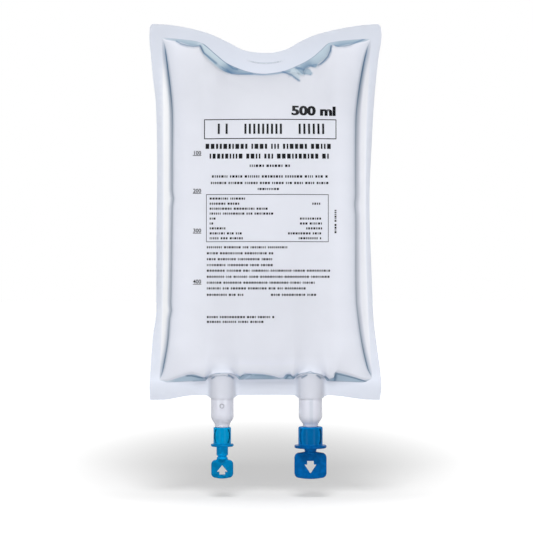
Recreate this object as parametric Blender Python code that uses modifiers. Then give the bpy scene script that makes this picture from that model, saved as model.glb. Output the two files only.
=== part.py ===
"""A hung 500 ml fluid bag: two welded films round the solution, two ports, two septa and two break-off caps.

Metres, +Z up, X to the right, the printed front towards -Y. The origin is the middle of the hang slit.
"""

import math

import bmesh
import bpy
import numpy as np
from mathutils import Vector
from mathutils.geometry import delaunay_2d_cdt

MM = 0.001

# Film and fits
FILM_WIDTH = 135.8 * MM
FILM_LENGTH = 220.1 * MM
FILM = 0.25 * MM
FIT = 0.3 * MM

# The outlines below are drawn in millimetres on a film of this size, from the middle of the hang slit.
# A wider or longer film gets its room inside the pocket, so the welds keep their widths.
DRAWN_WIDTH = 135.8 * MM
DRAWN_LENGTH = 220.1 * MM
POCKET_SIDE = 58 * MM
POCKET_FOOT = 182 * MM


def across(x):
    """A drawn place across the film, in metres."""
    share = max(-1, min(1, x * MM / POCKET_SIDE))
    return x * MM + (FILM_WIDTH - DRAWN_WIDTH) / 2 * share


def down(z):
    """A drawn height along the film, in metres."""
    share = max(0, min(1, -z * MM / POCKET_FOOT))
    return z * MM - (FILM_LENGTH - DRAWN_LENGTH) * share


def wide(size):
    """A drawn width, in metres, that the film's size leaves as it is."""
    return size * MM


def drawn(place, value, points):
    """The points of a drawn line, each a place along it and a value, as real sizes."""
    return [(place(a), value(b)) for a, b in points]


# The bag's outer edge, drawn in at the waist by the filling
LEFT_EDGE = drawn(down, across, [
    (-199, -67.6), (-190, -67.9), (-180, -67.3), (-160, -65.8), (-146, -63.9), (-110, -63.9), (-62, -63.4),
    (-33, -63.8), (-20, -64.5), (-12, -65.6), (2, -66.9), (14, -67.9), (22, -67.5)])
RIGHT_EDGE = drawn(down, across, [
    (-199, 66.9), (-190, 67.9), (-182, 67.2), (-167, 65.2), (-153, 63.4), (-128, 62.2), (-82, 60.8), (-47, 62.2),
    (-20, 63.8), (2, 66.1), (15, 67.9), (22, 67.2)])
TOP_EDGE = drawn(across, down, [
    (-68, 21.8), (-54, 20.8), (-33.6, 16.2), (-22, 11.0), (-12.6, 6.3), (1.4, 4.7),
    (13, 7.2), (20, 11.2), (28, 14.8), (53, 20.5), (68, 21.8)])
BOTTOM_EDGE = drawn(across, down, [
    (-68, -198.3), (-59.4, -198.2), (-52, -197.0), (-45, -195.8), (-34, -195.4), (34, -195.4), (42, -195.9),
    (50, -197.0), (58, -198.0), (68, -198.3)])
CORNER_ROUND = 2.2 * MM
SWELL_HIGH_Z = down(14.5)
SWELL_LOW_Z = down(-190)
SIDE_CURL = 5.0 * MM
CURL_Z = down(-86)
CURL_REACH = 98 * MM

# The weld's inner edge, where the films part
WELD_TOP = drawn(across, down, [
    (-60.5, 13.5), (-48, 12.4), (-39.5, 11.1), (-36.4, 9.9), (-29.5, 4.1), (-23.1, -1.1),
    (-16.1, -4.4), (-10.2, -6.4), (-2, -7.6), (10.2, -6.1), (17.3, -3.5), (27.2, 1.8),
    (31.9, 5.7), (36.4, 9.9), (39.5, 10.9), (51.2, 12.3), (61.7, 12.9)])
WELD_BOTTOM = drawn(across, down, [
    (-62, -186.6), (-57, -187.8), (-45, -187.4), (-14, -186.2), (10, -186.0), (40, -187.2),
    (57, -187.8), (62.3, -185.6)])
WELD_LEFT = drawn(down, across, [(-186.6, -62.0), (-140, -60.2), (-86, -59.7), (-35, -59.9), (13.5, -60.5)])
WELD_RIGHT = drawn(down, across, [(-185.6, 62.3), (-140, 59.7), (-86, 58.5), (-35, 59.2), (12.9, 61.7)])

# The filled shape
HALF_THICKNESS = 20.4 * MM
SIDE_POWER = 0.63
TOP_REACH = 78 * MM
TOP_POWER = 0.6
BOTTOM_REACH = 56 * MM
BOTTOM_POWER = 0.55

# The gathers: how wide the flat facet beside the weld is, and the steep fold after it
FACET_TOP = drawn(across, wide, [
    (-60.5, 0.4), (-50, 1.4), (-43, 2.7), (-39.2, 2.2), (-37.2, 1.0), (-35, 3.2), (-31, 4.6),
    (-24, 5.0), (-19.5, 4.6), (-15, 3.0), (-10, 1.5), (-4, 0.6), (9, 0.7), (13, 1.6), (16.4, 3.2),
    (18.8, 6.4), (21, 3.6), (23.6, 3.2), (26, 6.0), (28, 4.8), (31, 4.9), (34, 3.8), (36.4, 2.2),
    (38, 1.0), (41.5, 2.7), (47, 2.4), (53, 1.7), (61.7, 0.4)])
FACET_BOTTOM = drawn(across, wide, [
    (-62, 0.4), (-57, 0.6), (-50, 2.3), (-42.6, 3.8), (-38, 2.4), (-35, 1.0), (-17, 1.0),
    (-14.8, 2.0), (-9, 3.0), (0, 1.7), (7.7, 0.7), (10, 0.7), (11.6, 2.2), (14.5, 2.9),
    (17, 1.0), (36, 1.0), (39.6, 1.8), (41, 4.8), (50, 3.0), (59, 0.6), (62.3, 0.4)])
FACET_LEFT = drawn(down, wide, [
    (-186.6, 0.4), (-170, 1.5), (-150, 2.6), (-146, 3.4), (-141, 2.8), (-86, 3.2), (-80.5, 3.9),
    (-76, 3.1), (-32, 3.1), (-3, 1.8), (13.5, 0.4)])
FACET_RIGHT = drawn(down, wide, [
    (-185.6, 0.4), (-165, 1.6), (-140, 2.6), (-91, 2.6), (-84, 3.3), (-78, 2.6), (-26, 2.6),
    (-3, 1.9), (12.9, 0.4)])
FACET_SLOPE = 0.42
FACET_FLAT = 4.2 * MM
FACET_CLIMB = 1.5
FOLD_LEFT = 2.4 * MM
FOLD_RIGHT = 3.3 * MM
FOLD_ENDS = 1.5 * MM
FOLD_CORNER = 1.0 * MM
FOLD_END_RUN = 12 * MM
FACET_FOOT = 0.15 * MM
FOLD_SIDE_RUN = 45 * MM

# How closely the film is divided
END_STEP = 3.3 * MM
SIDE_STEP = 9.5 * MM
EDGE_STEP = 5.3 * MM
COLUMN_CLEAR = 1.2 * MM
FINE_STEP = 7.3 * MM
COARSE_STEP = 13.3 * MM
FINE_REACH = 30 * MM
FILL_HIGH_Z = down(12)
FILL_LOW_Z = down(-190)
FILL_SIDE_X = across(66)
LOWER_Z = down(-150)

# The hang slit, a shallow smile cut through the weld
SLIT_LENGTH = 23.4 * MM
SLIT_DROP = 2.3 * MM
SLIT_WIDTH = 0.5 * MM
SLIT_TOP_Z = 0.9 * MM

# Ports
PORT_TOP_Z = down(-184.1)
PORT_WALL = 1.25 * MM
DOME_RISE = 4.2 * MM
DOME_REACH = 9.8 * MM
SLEEVE_TURN = math.radians(64)
SLEEVE_FOOT = 2.1 * MM
SLEEVE_FLARE = 4.0 * MM
COLUMN_RISE = 1.5 * MM
SLEEVE_FADE = 22 * MM
SLEEVE_HUG = 1.7 * MM
BARREL_LENGTH = 24.7 * MM
TAPER_LENGTH = 3.0 * MM

# Each port and its cap, from the bag downwards
PORTS = {
    "injection": {
        "x": -25.3 * MM,
        "radius": 6.7 * MM,
        "neck_radius": 4.3 * MM,
        "neck_length": 2.4 * MM,
        "spigot_radius": 3.75 * MM,
        "cap_radius": 5.15 * MM,
        "cap_edge": 0.5 * MM,
        "cap_length": 9.7 * MM,
        "flange_radius": 6.65 * MM,
        "flange_thick": 1.5 * MM,
        "stem_radius": 3.4 * MM,
        "stem_length": 5.0 * MM,
        "waist_radius": 2.45 * MM,
        "waist_length": 0.7 * MM,
        "shoulder_radius": 3.25 * MM,
        "shoulder_length": 0.9 * MM,
        "tab_width": 12.9 * MM,
        "tab_length": 12.0 * MM,
        "tab_thick": 3.2 * MM,
        "tab_round": 2.6 * MM,
        "tab_bulge": 0.5 * MM,
        "tab_slope": 1.6 * MM,
        "groove_reach": 3.9 * MM,
        "groove_height": 6.2 * MM,
        "arrow_gap": 4.6 * MM,
        "arrow_up": True,
        "head_length": 4.0 * MM,
        "head_half": 3.3 * MM,
        "shaft_length": 1.6 * MM,
        "shaft_half": 1.67 * MM,
        "color": (0.03, 0.45, 0.70),
    },
    "infusion": {
        "x": 26.3 * MM,
        "radius": 6.95 * MM,
        "neck_radius": 4.4 * MM,
        "neck_length": 2.0 * MM,
        "spigot_radius": 4.1 * MM,
        "cap_radius": 7.15 * MM,
        "cap_edge": 1.1 * MM,
        "cap_length": 10.8 * MM,
        "flange_radius": 9.4 * MM,
        "flange_thick": 1.7 * MM,
        "stem_radius": 3.6 * MM,
        "stem_length": 1.5 * MM,
        "waist_radius": 3.2 * MM,
        "waist_length": 0.4 * MM,
        "shoulder_radius": 3.6 * MM,
        "shoulder_length": 0.4 * MM,
        "tab_width": 18.8 * MM,
        "tab_length": 15.5 * MM,
        "tab_thick": 3.6 * MM,
        "tab_round": 2.9 * MM,
        "tab_bulge": 0.6 * MM,
        "tab_slope": 0.8 * MM,
        "groove_reach": 5.5 * MM,
        "groove_height": 9.0 * MM,
        "arrow_gap": 5.5 * MM,
        "arrow_up": False,
        "head_length": 5.4 * MM,
        "head_half": 3.6 * MM,
        "shaft_length": 2.1 * MM,
        "shaft_half": 1.95 * MM,
        "color": (0.01, 0.22, 0.50),
    },
}
SPIGOT_LENGTH = 5.2 * MM
SEPTUM_THICK = 2.2 * MM
GROOVE_WIDTH = 0.75 * MM
GROOVE_DEPTH = 0.4 * MM
CAP_STEPS = 28
TUBE_STEPS = 24
SEPTUM_STEPS = 16


def levels(port):
    """The heights of a port and its cap, worked down from the tube's open end in the bag."""
    z = {"taper": PORT_TOP_Z - BARREL_LENGTH}
    z["neck"] = z["taper"] - TAPER_LENGTH
    z["cap"] = z["neck"] - port["neck_length"]
    z["seat"] = z["cap"] + FIT
    z["spigot"] = z["cap"] - SPIGOT_LENGTH
    z["septum"] = z["spigot"] - FIT
    z["floor"] = z["septum"] - SEPTUM_THICK - FIT
    z["flange"] = z["cap"] - port["cap_length"]
    z["stem"] = z["flange"] - port["flange_thick"]
    z["waist"] = z["stem"] - port["stem_length"]
    z["shoulder"] = z["waist"] - port["waist_length"] - port["shoulder_length"]
    z["tab"] = z["shoulder"] + 0.3 * MM
    z["tab_end"] = z["tab"] - port["tab_length"]
    return z


def curve(points, at):
    """A smooth curve through a few (position, value) points, read at any positions."""
    xs = np.array([p[0] for p in points])
    ys = np.array([p[1] for p in points])
    steps = np.diff(ys) / np.diff(xs)
    slopes = np.concatenate([[steps[0]], (steps[:-1] + steps[1:]) / 2, [steps[-1]]])
    for i in range(1, len(slopes) - 1):
        if steps[i - 1] * steps[i] <= 0:
            slopes[i] = 0
        else:
            limit = 2.5 * min(abs(steps[i - 1]), abs(steps[i]))
            slopes[i] = max(-limit, min(limit, slopes[i]))
    at = np.asarray(at, float)
    k = np.clip(np.searchsorted(xs, at) - 1, 0, len(xs) - 2)
    width = xs[k + 1] - xs[k]
    t = np.clip((at - xs[k]) / width, 0, 1)
    return ((2 * t**3 - 3 * t**2 + 1) * ys[k] + (t**3 - 2 * t**2 + t) * width * slopes[k]
            + (3 * t**2 - 2 * t**3) * ys[k + 1] + (t**3 - t**2) * width * slopes[k + 1])


def outer_x(z, side):
    """The bag's outer edge at a height: side -1 is the left edge, +1 the right one."""
    return float(curve(LEFT_EDGE if side < 0 else RIGHT_EDGE, z))


def dome(x):
    """How far the weld's inner edge rises over the ports' ends."""
    rise = 0.0
    for port in PORTS.values():
        s = min(abs(x - port["x"]) / DOME_REACH, 1)
        rise += DOME_RISE * (1 - s**3.2)
    return rise


def weld_bottom_z(x):
    return float(curve(WELD_BOTTOM, x)) + dome(x)


def sleeve(x):
    """How far the film stands off the seam where it wraps a port tube: a circle with a foot on each side."""
    for port in PORTS.values():
        r = port["radius"] + FIT
        s = abs(x - port["x"])
        turn_s = r * math.sin(SLEEVE_TURN)
        turn_y = r * math.cos(SLEEVE_TURN)
        if s <= turn_s:
            return math.sqrt(r * r - s * s)
        if s < turn_s + SLEEVE_FOOT:
            t = (s - turn_s) / SLEEVE_FOOT
            return turn_y * (1 - t) ** 1.7
    return 0.0


def filled(x, z, front):
    """How far the filled film stands off the seam's plane, without the gathers."""
    left = float(curve(WELD_LEFT, z))
    right = float(curve(WELD_RIGHT, z))
    a = (x - (left + right) / 2) / ((right - left) / 2)
    side = max(1 - a * a, 0) ** SIDE_POWER
    top = min(max((float(curve(WELD_TOP, x)) - z) / TOP_REACH, 0), 1)
    foot = min(max((z - weld_bottom_z(x)) / BOTTOM_REACH, 0), 1)
    ends = (1 - (1 - top) ** 2) ** TOP_POWER * (1 - (1 - foot) ** 2) ** BOTTOM_POWER
    body = HALF_THICKNESS * side * ends * (1.0 if front else 0.98)
    fade = 1 - min(max((z - weld_bottom_z(x)) / SLEEVE_FADE, 0), 1)
    wrap = sleeve(x) * fade * fade * (3 - 2 * fade)
    return (body**4 + wrap**4) ** 0.25


def port_columns(port):
    r = port["radius"] + FIT
    turn_s = r * math.sin(SLEEVE_TURN)
    offsets = [r * math.sin(SLEEVE_TURN * k / 3) for k in (0, 1, 2, 3)]
    offsets += [turn_s + 0.35 * SLEEVE_FOOT, turn_s + SLEEVE_FOOT]
    return sorted({round(port["x"] + sign * o, 7) for o in offsets for sign in (-1, 1)})


def spread(start, end, step):
    count = max(int(round(abs(end - start) / step)), 1)
    return list(np.linspace(start, end, count + 1))


def end_positions(points, step, columns):
    """Sample positions along the top or the bottom: every turn of the facet line, and points between them."""
    marks = sorted({p[0] for p in points})
    found = []
    for a, b in zip(marks, marks[1:]):
        found += spread(a, b, step)[:-1]
    found.append(marks[-1])
    for port in columns:
        inside = port_columns(port)
        found = [x for x in found if x < inside[0] - COLUMN_CLEAR or x > inside[-1] + COLUMN_CLEAR] + inside
    return sorted(set(found))


def side_heights(side):
    """Sample heights down a long weld, without its two ends."""
    line = WELD_LEFT if side < 0 else WELD_RIGHT
    return spread(line[0][0], line[-1][0], SIDE_STEP)[1:-1]


def rim_samples():
    """The weld's inner edge, clockwise from the top left corner, as rows of x, z, facet width, fold width."""
    top_x = end_positions(FACET_TOP, END_STEP, [])
    bottom_x = end_positions(FACET_BOTTOM, END_STEP, PORTS.values())
    rows = []
    for x in top_x:
        near = min((x - top_x[0]), (top_x[-1] - x)) / FOLD_END_RUN
        fold = FOLD_CORNER + (FOLD_ENDS - FOLD_CORNER) * min(near, 1)
        rows.append((x, float(curve(WELD_TOP, x)), float(curve(FACET_TOP, x)), fold))
    for z in side_heights(1)[::-1]:
        near = min(WELD_RIGHT[-1][0] - z, z - WELD_RIGHT[0][0]) / FOLD_SIDE_RUN
        fold = FOLD_CORNER + (FOLD_RIGHT - FOLD_CORNER) * min(near, 1)
        rows.append((float(curve(WELD_RIGHT, z)), z, float(curve(FACET_RIGHT, z)), fold))
    for x in reversed(bottom_x):
        near = min((x - bottom_x[0]), (bottom_x[-1] - x)) / FOLD_END_RUN
        fold = FOLD_CORNER + (FOLD_ENDS - FOLD_CORNER) * min(near, 1)
        rows.append((x, weld_bottom_z(x), float(curve(FACET_BOTTOM, x)), fold))
    for z in side_heights(-1):
        near = min(z - WELD_LEFT[0][0], WELD_LEFT[-1][0] - z) / FOLD_SIDE_RUN
        fold = FOLD_CORNER + (FOLD_LEFT - FOLD_CORNER) * min(near, 1)
        rows.append((float(curve(WELD_LEFT, z)), z, float(curve(FACET_LEFT, z)), fold))
    return np.array(rows)


def inward(points):
    """Unit vectors into the bag at each point of a clockwise loop, smoothed along it."""
    ahead = np.roll(points, -1, axis=0) - points
    back = points - np.roll(points, 1, axis=0)
    ahead /= np.linalg.norm(ahead, axis=1)[:, None]
    back /= np.linalg.norm(back, axis=1)[:, None]
    tangent = ahead + back
    normal = np.stack([tangent[:, 1], -tangent[:, 0]], axis=1)
    normal /= np.linalg.norm(normal, axis=1)[:, None]
    for _ in range(2):
        normal = normal + 0.5 * (np.roll(normal, 1, axis=0) + np.roll(normal, -1, axis=0))
        normal /= np.linalg.norm(normal, axis=1)[:, None]
    return normal


def outer_loop():
    """The film's cut edge, clockwise from the top left corner."""
    left_x, right_x = LEFT_EDGE[-1][1], RIGHT_EDGE[-1][1]
    left_top, right_top = float(curve(TOP_EDGE, left_x)), float(curve(TOP_EDGE, right_x))
    left_low, right_low = LEFT_EDGE[0][1], RIGHT_EDGE[0][1]
    round_in = CORNER_ROUND * (1 - math.sin(math.pi / 4))
    points = []
    for x in spread(left_x + CORNER_ROUND, right_x - CORNER_ROUND, EDGE_STEP):
        points.append((x, float(curve(TOP_EDGE, x))))
    points.append((right_x - round_in, right_top - round_in))
    for z in [right_top - CORNER_ROUND, SWELL_HIGH_Z] + side_heights(1)[::-1] + [SWELL_LOW_Z]:
        points.append((outer_x(z, 1), z))
    points.append((right_low, float(curve(BOTTOM_EDGE, right_low))))
    columns = sorted(x for port in PORTS.values() for x in port_columns(port))
    bottom = [x for x in spread(right_low - EDGE_STEP, left_low + 1.5 * EDGE_STEP, 1.2 * EDGE_STEP)
              if all(abs(x - port["x"]) > port["radius"] + 2.5 * MM for port in PORTS.values())]
    for x in sorted(set(bottom + columns), reverse=True):
        hug = 0.0
        for port in PORTS.values():
            gap = abs(x - port["x"]) - port["radius"]
            hug = max(hug, SLEEVE_HUG * (1 - min(max(gap, 0) / SLEEVE_FLARE, 1)) ** 2)
        points.append((x, float(curve(BOTTOM_EDGE, x)) - hug))
    points.append((left_low, float(curve(BOTTOM_EDGE, left_low))))
    for z in [SWELL_LOW_Z] + side_heights(-1) + [SWELL_HIGH_Z, left_top - CORNER_ROUND]:
        points.append((outer_x(z, -1), z))
    points.append((left_x + round_in, left_top - round_in))
    return np.array(points)


def slit_loop():
    """The slit's cut edge: two arcs of one smile with a small gap."""
    lower, upper = [], []
    for u in np.linspace(-1, 1, 11):
        x = u * SLIT_LENGTH / 2
        z = SLIT_TOP_Z - SLIT_DROP * (1 - u * u) ** 0.9
        half = SLIT_WIDTH / 2 * max(1 - u**6, 0)
        lower.append((x, z - half))
        upper.append((x, z + half))
    return np.array(lower + upper[-2:0:-1])


def inside(loop, x, z):
    """Whether a point lies inside a loop."""
    x1, z1 = loop[:, 0], loop[:, 1]
    x2, z2 = np.roll(x1, -1), np.roll(z1, -1)
    crossing = (z1 > z) != (z2 > z)
    rise = np.where(crossing, z2 - z1, 1)
    return bool(np.sum(crossing & (x < (x2 - x1) * (z - z1) / rise + x1)) % 2)


def away(loop, x, z):
    """The distance from a point to a loop."""
    a = loop
    b = np.roll(loop, -1, axis=0)
    d = b - a
    p = np.array([x, z])
    t = np.clip(np.sum((p - a) * d, axis=1) / np.maximum(np.sum(d * d, axis=1), 1e-18), 0, 1)
    return float(np.min(np.linalg.norm(a + t[:, None] * d - p, axis=1)))


def triangulate(points, loops, extra_edges, keep):
    """Triangles over the points, with the loops' sides as edges, where keep(x, z) holds at the middle."""
    edges = list(extra_edges)
    for loop in loops:
        edges += list(zip(loop, loop[1:] + loop[:1]))
    flat = [Vector((p[0] / MM, p[1] / MM)) for p in points]
    found = delaunay_2d_cdt(flat, edges, [], 0, 1e-6)
    verts, faces, origin = found[0], found[2], found[3]
    if len(verts) != len(points):
        raise ValueError("the lines of the film cross each other")
    source = [ids[0] for ids in origin]
    triangles = []
    for face in faces:
        ids = [source[i] for i in face]
        x = sum(points[i][0] for i in ids) / 3
        z = sum(points[i][1] for i in ids) / 3
        if keep(x, z):
            (ax, az), (bx, bz), (cx, cz) = (points[i] for i in ids)
            if (bx - ax) * (cz - az) - (bz - az) * (cx - ax) < 0:
                ids.reverse()
            triangles.append(tuple(ids))
    return triangles


def film_layout():
    """The flat layout of the film: points with their ring, and triangles of the weld, the gathers and the belly."""
    rim = rim_samples()
    n = len(rim)
    weld = rim[:, :2]
    normal = inward(weld)
    valley = weld + normal * rim[:, 2:3]
    belly = weld + normal * (rim[:, 2:3] + rim[:, 3:4])
    cut = outer_loop()
    slit = slit_loop()
    points = [tuple(p) for p in np.concatenate([weld, valley, belly, cut, slit])]
    weld_ids = list(range(n))
    belly_ids = list(range(2 * n, 3 * n))
    cut_ids = list(range(3 * n, 3 * n + len(cut)))
    slit_ids = list(range(3 * n + len(cut), len(points)))

    columns = []
    for port in PORTS.values():
        for x in port_columns(port):
            upper = min(weld_ids, key=lambda i: abs(points[i][0] - x) + (1 if points[i][1] > LOWER_Z else 0))
            lower = min(cut_ids, key=lambda i: abs(points[i][0] - x) + (1 if points[i][1] > LOWER_Z else 0))
            columns.append((upper, lower))
    band_points = weld_ids + cut_ids + slit_ids
    local = {g: i for i, g in enumerate(band_points)}
    band = triangulate(
        [points[g] for g in band_points],
        [[local[g] for g in ids] for ids in (weld_ids, cut_ids, slit_ids)],
        [(local[a], local[b]) for a, b in columns],
        lambda x, z: inside(cut, x, z) and not inside(weld, x, z) and not inside(slit, x, z),
    )
    band = [tuple(band_points[i] for i in t) for t in band]

    gathers = []
    for ring in (0, 1):
        for i in range(n):
            j = (i + 1) % n
            a, b, c, d = ring * n + i, ring * n + j, (ring + 1) * n + j, (ring + 1) * n + i
            gathers += [(a, d, c), (a, c, b)]

    first = len(points)
    z = FILL_LOW_Z
    row = 0
    while z < FILL_HIGH_Z:
        end = min(FILL_HIGH_Z - z, z - FILL_LOW_Z)
        step = FINE_STEP if end < FINE_REACH else COARSE_STEP
        for x in np.arange(-FILL_SIDE_X + (row % 2) * step / 2, FILL_SIDE_X, step):
            if inside(belly, x, z) and away(belly, x, z) > 0.55 * step:
                points.append((float(x), float(z)))
        z += step * 0.87
        row += 1
    inner_ids = belly_ids + list(range(first, len(points)))
    local = {g: i for i, g in enumerate(inner_ids)}
    middle = triangulate(
        [points[g] for g in inner_ids],
        [[local[g] for g in belly_ids]],
        [],
        lambda x, z: inside(belly, x, z),
    )
    middle = [tuple(inner_ids[i] for i in t) for t in middle]
    return points, n, band, gathers, middle


def seam_y(x, z):
    """The seam's own surface: flat at the ends, with the long welds curling back at mid-height."""
    side = -1 if x < 0 else 1
    inner = float(curve(WELD_LEFT if side < 0 else WELD_RIGHT, z))
    outer = outer_x(z, side)
    across = (x - inner) / (outer - inner)
    along = 1 - min(abs((z - CURL_Z) / CURL_REACH), 1) ** 2
    return SIDE_CURL * max(across, 0) ** 1.2 * along if 0 < across < 1.2 else 0.0


def depths(points, n, front):
    """How far the film's inner side stands off the seam at each point."""
    values = []
    for i, (x, z) in enumerate(points):
        if i < n:
            values.append(sleeve(x) if z < LOWER_Z else 0.0)
        elif i < 2 * n:
            foot_x, foot_z = points[i - n]
            width = math.hypot(x - foot_x, z - foot_z)
            base = sleeve(foot_x) if foot_z < LOWER_Z else 0.0
            rise = FACET_SLOPE * min(width, FACET_FLAT) + FACET_CLIMB * max(width - FACET_FLAT, 0) + FACET_FOOT
            values.append(min((base**3 + rise**3) ** (1 / 3), max(filled(x, z, front), base)))
        elif i < 3 * n or inside_belly(points, n, x, z):
            values.append(filled(x, z, front))
        else:
            values.append(sleeve(x) if z < LOWER_Z else 0.0)
    return values


def inside_belly(points, n, x, z):
    return inside(np.array(points[2 * n:3 * n]), x, z)


def mesh_object(name, verts, faces, collection):
    mesh = bpy.data.meshes.new(name)
    mesh.from_pydata([tuple(v) for v in verts], [], [tuple(f) for f in faces])
    mesh.validate()
    mesh.update()
    obj = bpy.data.objects.new(name, mesh)
    collection.objects.link(obj)
    return obj


def film(name, layout, front, collection):
    points, n, band, gathers, middle = layout
    sign = -1 if front else 1
    depth = depths(points, n, front)
    verts = [(x, seam_y(x, z) + sign * d if i >= 3 * n or i < n else sign * d, z)
             for i, ((x, z), d) in enumerate(zip(points, depth))]
    faces = [t if front else t[::-1] for t in band + gathers + middle]
    obj = mesh_object(name, verts, faces, collection)
    soft = [i >= len(band) + len(gathers) for i in range(len(faces))]
    obj.data.polygons.foreach_set("use_smooth", soft)
    solid = obj.modifiers.new("film thickness", "SOLIDIFY")
    solid.thickness = FILM
    solid.offset = 1
    solid.use_rim = True
    solid.use_even_offset = False
    return obj


def turned(name, profile, x, collection, steps):
    """A turned solid: a closed profile of (radius, height), outer side from top to bottom, swept round an axis."""
    mesh = bpy.data.meshes.new(name)
    verts = [(r, 0, z) for r, z in profile]
    edges = [(i, (i + 1) % len(verts)) for i in range(len(verts))
             if not (verts[i][0] == 0 and verts[(i + 1) % len(verts)][0] == 0)]
    mesh.from_pydata(verts, edges, [])
    obj = bpy.data.objects.new(name, mesh)
    obj.location = (x, 0, 0)
    collection.objects.link(obj)
    screw = obj.modifiers.new("turn", "SCREW")
    screw.axis = "Z"
    screw.angle = math.tau
    screw.steps = steps
    screw.render_steps = steps
    screw.use_merge_vertices = True
    screw.merge_threshold = 0.00002
    return obj


def plate(name, outline, y_from, y_to, collection):
    """A flat outline in X and Z, extruded along Y."""
    mesh = bpy.data.meshes.new(name)
    form = bmesh.new()
    face = form.faces.new([form.verts.new((x, y_from, z)) for x, z in outline])
    moved = bmesh.ops.extrude_face_region(form, geom=[face])
    for vert in [v for v in moved["geom"] if isinstance(v, bmesh.types.BMVert)]:
        vert.co.y = y_to
    bmesh.ops.recalc_face_normals(form, faces=form.faces[:])
    form.to_mesh(mesh)
    form.free()
    obj = bpy.data.objects.new(name, mesh)
    collection.objects.link(obj)
    return obj


def boolean(obj, other, operation):
    step = obj.modifiers.new(operation.lower() + " " + other.name, "BOOLEAN")
    step.operation = operation
    step.object = other
    step.solver = "EXACT"


def port_tube(name, port, collection):
    z = levels(port)
    r, neck, spigot = port["radius"], port["neck_radius"], port["spigot_radius"]
    bore = r - PORT_WALL
    throat = spigot - PORT_WALL
    blend = min(0.5 * MM, (r - neck) / 3)
    profile = [
        (r, PORT_TOP_Z), (r, z["taper"]), (neck + blend, z["neck"] + 0.2 * MM), (neck, z["neck"] - blend),
        (neck, z["seat"]), (spigot, z["seat"]), (spigot, z["spigot"]), (throat, z["spigot"]),
        (throat, z["seat"] + 0.6 * MM), (neck - PORT_WALL, z["neck"] + 0.6 * MM), (bore, z["taper"] + 1.1 * MM),
        (bore, PORT_TOP_Z),
    ]
    return turned(name, profile, port["x"], collection, TUBE_STEPS)


def fluid_column(name, port, collection):
    z = levels(port)
    r = port["radius"] - PORT_WALL - FIT
    throat = port["spigot_radius"] - PORT_WALL - FIT
    top = PORT_TOP_Z + DOME_RISE + COLUMN_RISE
    profile = [
        (0, top), (r, top), (r, z["taper"] + 1.6 * MM), (port["neck_radius"] - PORT_WALL - FIT, z["neck"] + 1.0 * MM),
        (throat, z["seat"] + 1.0 * MM), (throat, z["spigot"]), (0, z["spigot"]),
    ]
    return turned(name, profile, port["x"], collection, TUBE_STEPS)


def solution(name, layout, collection, cutters):
    points, n, band, gathers, middle = layout
    faces = [t for t in gathers if min(t) >= n] + middle
    used = sorted({i for t in faces for i in t})
    front = depths(points, n, True)
    back = depths(points, n, False)
    verts, front_id, back_id = [], {}, {}
    for i in used:
        x, z = points[i]
        front_id[i] = len(verts)
        if i < 2 * n:
            back_id[i] = front_id[i]
            verts.append((x, 0, z))
            continue
        verts.append((x, -front[i] ** 2 / (front[i] + FIT), z))
        back_id[i] = len(verts)
        verts.append((x, back[i] ** 2 / (back[i] + FIT), z))
    shell = [tuple(front_id[i] for i in t) for t in faces]
    shell += [tuple(back_id[i] for i in t[::-1]) for t in faces]
    obj = mesh_object(name, verts, shell, collection)
    for side, port in PORTS.items():
        boolean(obj, fluid_column(side + " column", port, cutters), "UNION")
    return obj


def septum(name, port, collection):
    top = levels(port)["septum"]
    r = port["spigot_radius"]
    crown = 0.3 * MM
    profile = [(0, top), (r - crown, top), (r, top - crown), (r, top - SEPTUM_THICK + crown),
               (r - crown, top - SEPTUM_THICK), (0, top - SEPTUM_THICK)]
    return turned(name, profile, port["x"], collection, SEPTUM_STEPS)


def tab_outline(port):
    """The break-off tab: sloping shoulders, round corners and a bowed lower edge."""
    z = levels(port)
    half, r, slope = port["tab_width"] / 2, port["tab_round"], port["tab_slope"]
    outline = [(port["waist_radius"] * 0.5, z["tab"])]
    for k in range(5):
        turn = math.pi / 2 * k / 4
        outline.append((half - r + r * math.sin(turn), z["tab"] - slope - r + r * math.cos(turn)))
    for k in range(5):
        turn = math.pi / 2 * k / 4
        outline.append((half - r + r * math.cos(turn), z["tab_end"] + r - r * math.sin(turn)))
    outline.append(((half - r) * 0.5, z["tab_end"] - 0.75 * port["tab_bulge"]))
    left = [(-x, height) for x, height in reversed(outline)]
    return [(port["x"] + x, height) for x, height in outline + [(0, z["tab_end"] - port["tab_bulge"])] + left]


def arrow_outline(port):
    top = levels(port)["tab"] - port["arrow_gap"]
    length = port["head_length"] + port["shaft_length"]
    tip, way = (top, -1) if port["arrow_up"] else (top - length, 1)
    base, tail = tip + way * port["head_length"], tip + way * length
    half, shaft = port["head_half"], port["shaft_half"]
    right = [(0, tip), (half, base), (shaft, base), (shaft, tail)]
    left = [(-x, z) for x, z in right[:0:-1]]
    return [(port["x"] + x, z) for x, z in right + left]


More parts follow.
